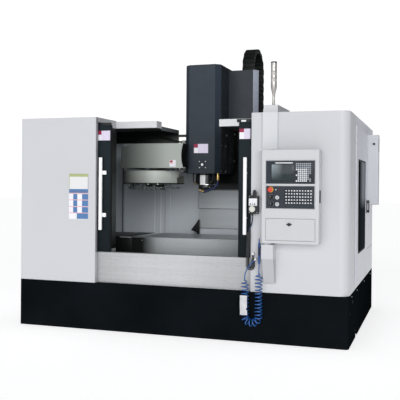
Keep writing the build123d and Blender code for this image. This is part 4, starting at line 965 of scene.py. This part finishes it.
for z in (840, 1010, 1180):
    p.turned((1700, 2380, z), (1, 0, 0), [(5, -0.5), (5, 2), (3.5, 3), (0, 3)], ZINC, n=16)
p.done("machine")
p = Piece("side_box_details")
p.box(1700.5, 1828, 1598.2, 1600.2, 1272, 1276, PAINT_SIDE, r=0.6)
p.box(1824, 1829.2, 1598.4, 1600.4, 1272, 2049, PAINT_SIDE, r=0.8)
for z in (1290, 1468, 1648, 1824, 2020):
    p.turned((1723, 1600, z), (0, -1, 0), [(5, -0.3), (5, 2), (3.6, 3), (0, 3)], ZINC, n=16)
p.turned((1783, 1590, 1948), (0, -1, 0), [(13, -0.5), (13, 3), (11, 4.5), (3, 4.5), (2.5, 2), (0, 2)], BLACK, n=28)
p.box(1827.5, 1829.8, 1640, 1715, 1859, 2014, BLACK, r=1.0)
for k in range(6):
    z = 1878 + 23 * k
    p.box(1829, 1832, 1648, 1707, z, z + 6, BLACK, r=1.2)
p.done("machine")

# ---- roof: box on the front corner, lamp ----
p = Piece("roof_duct_trim")
p.box(897, 1035, 27.5, 30.4, 2160, 2165, PAINT_BOX, r=0.8)
p.box(897, 1035, 27.5, 592, 2227, 2232, PAINT_BOX, r=1.2)
for x, y in ((915, 60), (1017, 60), (915, 560), (1017, 560)):
    p.turned((x, y, 2231), (0, 0, 1), [(6, -0.5), (6, 2), (4, 3.4), (0, 3.4)], ZINC, n=18)
p.done("machine")
p = Piece("signal_lamp")
p.turned((955, 200, 2230), (0, 0, 1), [(20, 0), (20, 5), (18.5, 8), (13.5, 34), (12, 60), (12, 100), (13.5, 118), (18, 140), (24.5, 166), (28, 190), (29, 210)], LAMP_BODY, n=48)
p.turned((955, 200, 2440), (0, 0, 1), [(29, 0), (28.4, 2), (28.4, 54), (29, 55), (29, 59), (28.4, 60), (28.4, 112), (29, 113), (29, 117), (28.4, 118), (28.4, 168), (29, 170)], LAMP_GREY, n=48)
p.turned((955, 200, 2608), (0, 0, 1), [(29, 0), (29, 46), (27.5, 54), (24, 58), (10, 59), (0, 59)], LAMP_GREY, n=48)
p.turned((955, 200, 2652), (0, 0, 1), [(29.2, 0), (29.6, 1), (29.6, 9), (29.2, 10)], BLACK, n=48)
p.done("machine", replaces=["tower_lamp"])

# ---- control station ----
B = "control_box"
p = Piece("control_box_seams")
p.box(933, 1448, -151.0, -149.6, 1463.5 + 9, 1493, PAINT_CBOX, r=0.6)
for x0, x1, z0, z1 in ((964, 968.5, 1266, 1706), (1412.5, 1417, 1266, 1706), (964, 1417, 1702, 1706.5), (964, 1417, 1265.5, 1270)):
    p.box(x0, x1, -152.2, -149.6, z0, z1, SEAM_AND_PAINTED_LIGHT, r=0.8)
for x0, x1, z0, z1 in ((966, 968.6, 978, 1179), (1416.4, 1419, 978, 1179), (966, 1419, 1176.5, 1179), (966, 1419, 976, 978.6)):
    p.box(x0, x1, -151.0, -149.6, z0, z1, SEAM, r=0.5)
p.box(1449.5, 1451.2, -128, -52, 1322, 1325, SEAM, r=0.5)
p.box(1449.5, 1451.2, -128, -52, 1432, 1435, SEAM, r=0.5)
p.box(1437, 1446.5, -126, -54, 1324, 1433, BLACK, r=1)
for y0, y1, z0, z1 in ((-129, -122, 1321, 1436), (-58, -51, 1321, 1436), (-125, -55, 1321, 1328), (-125, -55, 1429, 1436)):
    p.box(1448.6, 1451.6, y0, y1, z0, z1, BLACK, r=0.8)
p.box(1449.2, 1450.8, -147, -18, 1795, 1798, SEAM_AND_PAINTED_LIGHT, r=0.4)
p.done(B)
p = Piece("screen_bezel")
p.box(986, 1257, -160.6, -157.8, 1506, 1688, PANEL, r=1.6, seg=3)
p.box(1016, 1231, -162.2, -160.2, 1513, 1674, PANEL_DARK, r=1.6, seg=3)
p.box(1022, 1225, -163.0, -161.6, 1519, 1668, SCREEN, r=1.0)
p.box(1056, 1215, -161.6, -160.2, 1677, 1686, WHITE_PLASTIC, r=0.8)
p.box(1240, 1400, -160.4, -157.8, 1503, 1690, PANEL_DARK, r=1.6, seg=3)
p.done(B)
p = Piece("screen_keys")
for r in range(10):
    z = 1674 - 17.2 * r
    for c in range(8):
        x = 1250 + 17.4 * c
        if r > 8 and c == 6:
            continue
        tone = KEY_GREY if (r < 3 or c > 5) else KEY
        if (r, c) in ((6, 7), (7, 7)):
            tone = PANEL_DARK
        if c == 0 and r > 2:
            tone = WHITE_PLASTIC if r % 3 == 0 else PANEL_DARK
        p.box(x - 6.6, x + 6.6, -163.2, -160.0, z - 6.6, z + 6.6, tone, r=1.1, seg=2)
p.done(B)
p = Piece("operator_keys")
p.box(1143, 1398, -157.4, -155.8, 1310, 1445, PANEL_DARK, r=1.0)
for r in range(5):
    z = 1431 - 27.6 * r
    for c in range(10):
        x = 1157 + 24.9 * c
        p.box(x - 9.6, x + 9.6, -160.4, -157.2, z - 10.2, z + 10.2, PANEL, r=1.4, seg=2)
        lit = (r * 7 + c * 3) % 5
        w = 5.2 if lit in (1, 3) else 7.0
        h = 4.6 if lit in (0, 2) else 6.2
        p.box(x - w, x + w, -161.2, -160.0, z - h, z + h, KEY if lit != 3 or r < 2 else WHITE_PLASTIC, r=0.6, seg=1)
p.done(B)
p = Piece("operator_panel_rings")
p.turned((1012, -155.8, 1440), (0, -1, 0), [(23, 0), (26, 1.5), (26, 4), (23, 5.4), (14, 5.4)], YELLOW, n=44)
p.turned((1061, -155.8, 1439), (0, -1, 0), [(6, 0), (6, 2.2), (4.4, 3.6), (0, 4.0)], LED_LIGHT, n=20)
p.turned((1098, -155.8, 1441), (0, -1, 0), [(6, 0), (6, 2.2), (4.4, 3.6), (0, 4.0)], LED_RED, n=20)
for z in (1369, 1308):
    p.turned((1074, -155.8, z), (0, -1, 0), [(13.6, 0), (18.5, 0), (18.5, 4), (16.5, 5.6), (13.6, 5.6)], ZINC, n=36)
for x, z in ((1013, 1370), (1016, 1309)):
    p.turned((x, -155.8, z), (0, -1, 0), [(20, 0), (24, 0.2), (24, 1.0), (20, 1.2)], PANEL_DARK, n=36)
    for k in range(11):
        a = math.radians(-60 + 30 * k)
        p.box(x + 27 * math.cos(a) - 1.2, x + 27 * math.cos(a) + 1.2, -156.8, -155.8, z + 27 * math.sin(a) - 1.2, z + 27 * math.sin(a) + 1.2, KEY, r=0.3, seg=1)
p.done(B)
p = Piece("estop_mushroom")
p.turned((1012, -156, 1440), (0, -1, 0), [(10.8, 0), (10.8, 12), (15, 14), (22, 17), (23.4, 21), (22.6, 25), (18.5, 28.4), (12, 29.8), (0, 30.0)], RED, n=44)
p.done("estop", replaces=["estop_button"])
for name, body, x, z, node in (("feed_override_knob", "feed_knob", 1013, 1370, "feed_knob"), ("speed_override_knob", "speed_knob", 1016, 1309, "speed_knob")):
    p = Piece(name)
    bm = bmesh.new()
    rings = []
    for rr, h in ((18.6, -156.6), (18.6, -160), (16.8, -162), (15.6, -174), (14.2, -175.8)):
        ring = []
        for k in range(72):
            a = 2 * math.pi * k / 72
            g = rr * (1 - 0.05 * (0.5 + 0.5 * math.cos(18 * a))) if h < -160 else rr
            ring.append(bm.verts.new(P(x + g * math.cos(a), h, z + g * math.sin(a))))
        rings.append(ring)
    for a, b in zip(rings, rings[1:]):
        for k in range(72):
            bm.faces.new((a[k], a[(k + 1) % 72], b[(k + 1) % 72], b[k]))
    bm.faces.new(rings[-1])
    bm.faces.new(rings[0])
    p._take(bm, BLACK)
    p.box(x - 1.4, x + 1.4, -176.0, -174.6, z + 2, z + 13, WHITE_PLASTIC, r=0.4, seg=1)
    p.turned((x, -157, z), (0, 1, 0), [(4.9, 0), (4.9, 15)], ZINC, n=20)
    p.done(body, replaces=[node])
for name, body, z, node in (("start_push_cap", "start_button", 1369, "start_button"), ("stop_push_cap", "stop_button", 1308, "stop_button")):
    p = Piece(name)
    p.turned((1074, -146, z), (0, -1, 0), [(12.8, 0), (12.8, 15), (11.8, 16.6), (8.5, 16.2), (0, 15.6)], BUTTON, n=36)
    p.done(body, replaces=[node])
p = Piece("flap_folds")
for x0, x1, z0, z1 in ((970, 973, 984, 1175), (1412, 1415, 984, 1175), (970, 1415, 1172, 1175)):
    p.box(x0, x1, -154.6, -152.6, z0, z1, PAINT_BOX, r=0.8)
p.turned((1185, -152.8, 1126), (0, -1, 0), [(12, 0), (12, 1.2), (11, 1.6), (0, 1.6)], BLACK, n=36)
p.done("panel_flap")
p = Piece("flap_latch_wing")
p.plate([(1185 - 27, -155, 1126), (1185, -155, 1126 - 16), (1185 + 27, -155, 1126), (1185, -155, 1126 + 16)], (0, -9.4, 0), BLACK, r=1.5)
p.turned((1185, -141, 1126), (0, -1, 0), [(5.8, 0), (5.8, 15)], BLACK, n=24)
p.done("flap_latch", replaces=["flap_latch"])

# ---- post and bracket folds ----
p = Piece("post_trim")
p.box(897.3, 899.5, -21.2, -19.6, 1810, 2158, SEAM_AND_PAINTED_LIGHT, r=0.4)
p.box(1041.5, 1043.8, -21.2, -19.6, 1810, 2158, PAINT_BOX, r=0.4)
p.box(921, 1031, -126.4, -124.8, 802, 806, PAINT_BOX, r=0.6)
p.box(921, 924, -126.2, -124.8, 802, 932, PAINT_BOX, r=0.6)
p.box(924, 1028, -2.5, -0.2, 568, 576, SEAM_AND_PAINTED_LIGHT, r=0.8)
for z in (1840, 2120):
    p.screw(1030, -20, z, (0, -1, 0), ZINC, r=4.5, h=2.4)
p.done("machine")

# ---- hand pendant ----
p = Piece("pendant_face")
p.box(784.5, 864, -62.4, -59.6, 1288, 1356, WHITE_PLASTIC, r=1.8, seg=3)
p.box(789, 859, -63.4, -62.0, 1325, 1350, LBL_WHITE, r=0.8)
for k in range(3):
    p.turned((800 + 20 * k, -62.2, 1302), (0, -1, 0), [(6.4, 0), (6.4, 2), (5, 3.4), (0, 3.8)], KEY_GREY if k % 2 else BLACK, n=24)
p.turned((817, -59.6, 1257), (0, -1, 0), [(33, 0), (33, 0.9), (31, 1.1), (0, 1.1)], BLACK, n=48)
for k in range(24):
    a = math.radians(15 * k)
    p.box(817 + 30.8 * math.cos(a) - 0.6, 817 + 30.8 * math.cos(a) + 0.6, -61.3, -60.5, 1257 + 30.8 * math.sin(a) - 0.6, 1257 + 30.8 * math.sin(a) + 0.6, LBL_WHITE, r=0.2, seg=1)
for z in (1225, 1375):
    p.screw(790, -60, z, (0, -1, 0), ZINC, r=3, h=1.6)
    p.screw(864, -60, z, (0, -1, 0), ZINC, r=3, h=1.6)
p.turned((833, -37, 1420), (0, 0, 1), [(14, -6), (14.2, 6), (11, 12), (6, 14), (0, 14)], BLACK, n=28)
p.box(813, 853, -61.4, -56, 1364, 1382, BLACK, r=2.4, seg=3)
p.done("machine")
p = Piece("pendant_hand_wheel")
bm = bmesh.new()
rings = []
for rr, h in ((27.6, -60.9), (28.8, -61.8), (28.8, -67), (27.2, -68.8), (20, -69.0), (19, -67.6), (8, -67.4)):
    ring = []
    for k in range(120):
        a = 2 * math.pi * k / 120
        g = rr * (1 - 0.022 * (0.5 + 0.5 * math.cos(40 * a))) if rr > 26 else rr
        ring.append(bm.verts.new(P(817 + g * math.cos(a), h, 1257 + g * math.sin(a))))
    rings.append(ring)
for a, b in zip(rings, rings[1:]):
    for k in range(120):
        bm.faces.new((a[k], a[(k + 1) % 120], b[(k + 1) % 120], b[k]))
bm.faces.new(rings[0])
bm.faces.new(rings[-1])
p._take(bm, CREAM)
p.turned((817 + 14, -67, 1257 + 12), (0, -1, 0), [(5.0, 0), (5.0, 1.4), (3.4, 1.9), (0, 1.2)], KEY_GREY, n=24)
p.turned((817, -60.9, 1257), (0, 1, 0), [(5.8, -0.2), (5.8, 8.5)], ZINC, n=20)
p.done("pendant_dial", replaces=["pendant_dial"])
p = Piece("pendant_lead_sleeve")
p.pipe([(814, -38, 1186), (814, -38, 1160), (811.5, -37.2, 1138), (807, -36, 1120), (800.5, -34, 1101), (793, -32, 1084), (787, -30.2, 1070), (782, -28.8, 1057)], 6.4, CORD_BLUE, n=18)
p.done("machine")
p = Piece("pendant_strain_relief")
p.turned((814, -38, 1212), (0, 0, -1), [(10.5, -0.5), (10.5, 5), (8.2, 8), (8.2, 11), (7.4, 12), (7.4, 15), (6.6, 16), (6.6, 19), (5.8, 20), (5.2, 24)], BLACK, n=28)
p.turned((820, -25, 826), (0, 0, -1), [(11, -0.5), (11, 6), (8.6, 8), (6.6, 18), (5.4, 26)], BLACK, n=28)
p.done("machine")

# ---- air gun ----
p = Piece("air_gun_details")
p.turned((884.5, -53, 937), (0, 0, 1), [(9.2, -1), (9.2, 4), (7, 7), (5, 9)], BLUE, n=28)
p.turned((884.5, -53, 984), (0, 0, 1), [(4.6, 0), (5.4, 1), (5.4, 5), (3.0, 7)], ZINC, n=20)
p.turned((886, -53, 784), (0, 0, -1), [(11.4, -2), (11.6, 2), (11.6, 10), (10.6, 12), (10.6, 22), (8.6, 26), (7.4, 33)], BLACK, n=6)
p.box(875.6, 879.2, -62, -44, 800, 925, CORD_BLUE, r=1.2)
p.done("machine")
p = Piece("air_gun_lever")
p.plate([(881.2, -68, 904), (881.2, -62.4, 904.6), (881.2, -62.6, 829), (881.2, -73.6, 829), (881.2, -73.2, 846), (881.2, -70.5, 880)], (10.6, 0, 0), BLACK, r=0.9)
p.done("gun_trigger", replaces=["air_gun_trigger"])
p = Piece("hose_sleeve")
bm = bmesh.new()
grid = []
for i in range(25):
    row = []
    for j in range(41):
        u, v = i / 24, j / 40
        x = 713 + 68 * u + 1.4 * math.sin(5 * v + 1.2)
        bow = -91.6 + 3.2 * (2 * u - 1) ** 2 + 1.3 * math.sin(6.3 * v + 2.2 * u) * (u - 0.3)
        z = 272 + 180 * v + (1.8 * math.sin(3 * u) if j > 38 else 0)
        row.append(bm.verts.new(P(x, bow, z)))
    grid.append(row)
for i in range(24):
    for j in range(40):
        bm.faces.new((grid[i][j], grid[i + 1][j], grid[i + 1][j + 1], grid[i][j + 1]))
bmesh.ops.solidify(bm, geom=bm.faces[:], thickness=0.0008)
p._take(bm, SLEEVE)
p.pipe([(720, -89, 440), (716, -60, 444), (720, -30, 440), (751, -12, 438), (782, -30, 440), (786, -60, 444), (778, -89, 440)], 1.2, WHITE_PLASTIC, n=8, smoothing=5)
p.box(774, 781, -92.6, -88, 316, 336, LBL_DARK, r=1.0)
p.done("machine")

# ---- webs inside the base skirt ----
p = Piece("skirt_webs")
for y in (60, 246, 448, 730, 1180, 1760):
    p.box(1560, 1695.4, y, y + 4, 18, 455, BLACK, r=0.8)
p.done("machine")

# ---- roof: folded edge over the chamber, lining of the hanging panel; both dark grey as painted shade ----
p = Piece("roof_edge_fold")
p.box(-371, -366.8, 622, 1157, 2064, 2105, ROOF_EDGE, r=0.8)
p.box(-1394, -368.5, 1150.6, 1152.8, 1961, 2083.5, DROP, r=0.5)
p.done("machine")

# ---- telescopic covers beside the table ----
for name, sx, xa, xb in (("x_way_cover_left", -1, -760.6, -1386), ("x_way_cover_right", 1, 716.6, 1386)):
    p = Piece(name)
    step = (xb - xa) / 3
    for k in range(3):
        a = xa + step * k
        b = xa + step * (k + 1) + (12 * sx if k < 2 else 0)
        lo_, hi_ = min(a, b), max(a, b)
        d = 2.4 * k
        p.box(lo_, hi_, 744.4 + d, 746.2 + d, 706, 899 - d, APRON, r=0.6)
        # painted shade: dark tops
        p.box(lo_, hi_, 744.8 + d, 1436, 897 - d, 898.8 - d, WAY_TOP, r=0.5)
        e = b - 4 * sx
        p.box(min(e, b), max(e, b), 744.6 + d, 1436, 891 - d, 897.2 - d, RUBBER, r=0.6)
    if sx < 0:
        # painted highlight: a lighter strip on the front edge of the left way cover
        p.box(-908, -770, 743.4, 745.2, 887, 896, SEAM_AND_PAINTED_LIGHT, r=0.5)
    cover = p.done(None)
    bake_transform(cover)

# ---- front covers: folded edges ----
p = Piece("left_cover_folds")
p.box(-838.5, -835, -1.2, 0.2, 480, 2158, PAINT, r=0.5)
p.box(-1699, -836, -1.0, 0.2, 479, 482.5, PAINT, r=0.4)
# painted shade: the left cover's side wall near the front edge, mid grey
p.box(-835.2, -833.8, 2, 44, 792, 2156, SEAM_AND_PAINTED_LIGHT, r=0.4)
p.done("machine")
p = Piece("right_cover_folds")
p.box(790, 793.2, -1.2, 0.2, 480, 2158, PAINT, r=0.5)
p.box(790, 1606, -1.0, 0.2, 479, 482.5, PAINT, r=0.4)
p.done("machine")
p = Piece("roof_screws")
for x in (-1500, -1100, -700, -420, 380, 700, 1100, 1500):
    for y in (660, 1120):
        p.turned((x, y, 2090), (0, 0, 1), [(6, -0.4), (6, 2), (4, 3.4), (0, 3.4)], ZINC, n=16)
p.done("machine")

# ---- back of the machine: cabinet door, vents ----
p = Piece("rear_details")
D = 2415
p.box(-1500, 620, D, D + 1.2, 560, 564, SEAM_AND_PAINTED_LIGHT, r=0.4)
p.box(-1500, 620, D, D + 1.2, 1900, 1904, SEAM_AND_PAINTED_LIGHT, r=0.4)
for x in (-1200, -700, -200, 300):
    p.box(x - 1.5, x + 1.5, D, D + 1.2, 564, 1900, SEAM_AND_PAINTED_LIGHT, r=0.4)
for x in (-1440, -960, -460, 60, 560):
    for z in (620, 1240, 1860):
        p.turned((x, D, z), (0, 1, 0), [(7, -0.4), (7, 2.4), (5, 4), (0, 4)], ZINC, n=16)
for x0 in (840, 1240):
    for k in range(14):
        z = 1500 + 22 * k
        p.box(x0, x0 + 260, D - 0.2, D + 5, z, z + 9, PAINT_SIDE, r=1.8, turn=(18, "X"))
p.box(760, 1640, D, D + 1.6, 820, 824, SEAM, r=0.4)
p.box(760, 1640, D, D + 1.6, 1880, 1884, SEAM, r=0.4)
p.done("machine")

# ------------------------------------------------------------------ stage
def plane(name, size, z, mat):
    me = bpy.data.meshes.new(name)
    bm = bmesh.new()
    bmesh.ops.create_grid(bm, x_segments=4, y_segments=4, size=size)
    bm.to_mesh(me)
    bm.free()
    me.materials.append(mat)
    ob = bpy.data.objects.new(name, me)
    ob.location = (0, 0, z)
    bpy.context.scene.collection.objects.link(ob)
    return ob


fb = FLOOR.node_tree.nodes["Principled BSDF"]
fb.inputs["Emission Color"].default_value = (1, 1, 1, 1)
fb.inputs["Emission Strength"].default_value = 0.64
plane("floor", 60, -0.0006, FLOOR)

world = bpy.data.worlds.new("studio")
bpy.context.scene.world = world
world.use_nodes = True
wn = world.node_tree
bg = wn.nodes["Background"]
bg.inputs["Color"].default_value = (0.965, 0.98, 1.0, 1)
bg.inputs["Strength"].default_value = 0.22
white = wn.nodes.new("ShaderNodeBackground")
white.inputs["Color"].default_value = (1, 1, 1, 1)
white.inputs["Strength"].default_value = 1.05
lp = wn.nodes.new("ShaderNodeLightPath")
mx = wn.nodes.new("ShaderNodeMixShader")
wn.links.new(lp.outputs["Is Camera Ray"], mx.inputs["Fac"])
wn.links.new(bg.outputs[0], mx.inputs[1])
wn.links.new(white.outputs[0], mx.inputs[2])
wn.links.new(mx.outputs[0], wn.nodes["World Output"].inputs["Surface"])


def sun(name, direction, strength, angle, color=(1, 1, 1)):
    li = bpy.data.lights.new(name, "SUN")
    li.energy, li.angle, li.color = strength, math.radians(angle), color
    ob = bpy.data.objects.new(name, li)
    ob.rotation_mode = "QUATERNION"
    ob.rotation_quaternion = Vector(direction).to_track_quat("-Z", "Y")
    bpy.context.scene.collection.objects.link(ob)
    return ob


def area(name, at, aim, size, power, color=(1, 1, 1)):
    li = bpy.data.lights.new(name, "AREA")
    li.shape, li.size, li.size_y, li.energy, li.color = "RECTANGLE", size[0], size[1], power, color
    ob = bpy.data.objects.new(name, li)
    ob.location = P(*at)
    ob.rotation_mode = "QUATERNION"
    ob.rotation_quaternion = (P(*aim) - P(*at)).to_track_quat("-Z", "Y")
    bpy.context.scene.collection.objects.link(ob)
    return ob


sun("key", (-0.45, 1.0, -0.25), 1.35, 30)
sun("second", (0.15, 1.0, -0.20), 0.85, 40)

vs = bpy.context.scene.view_settings
vs.view_transform = "Standard"
vs.look = "None"
vs.exposure = 0.0
vs.gamma = 1.0
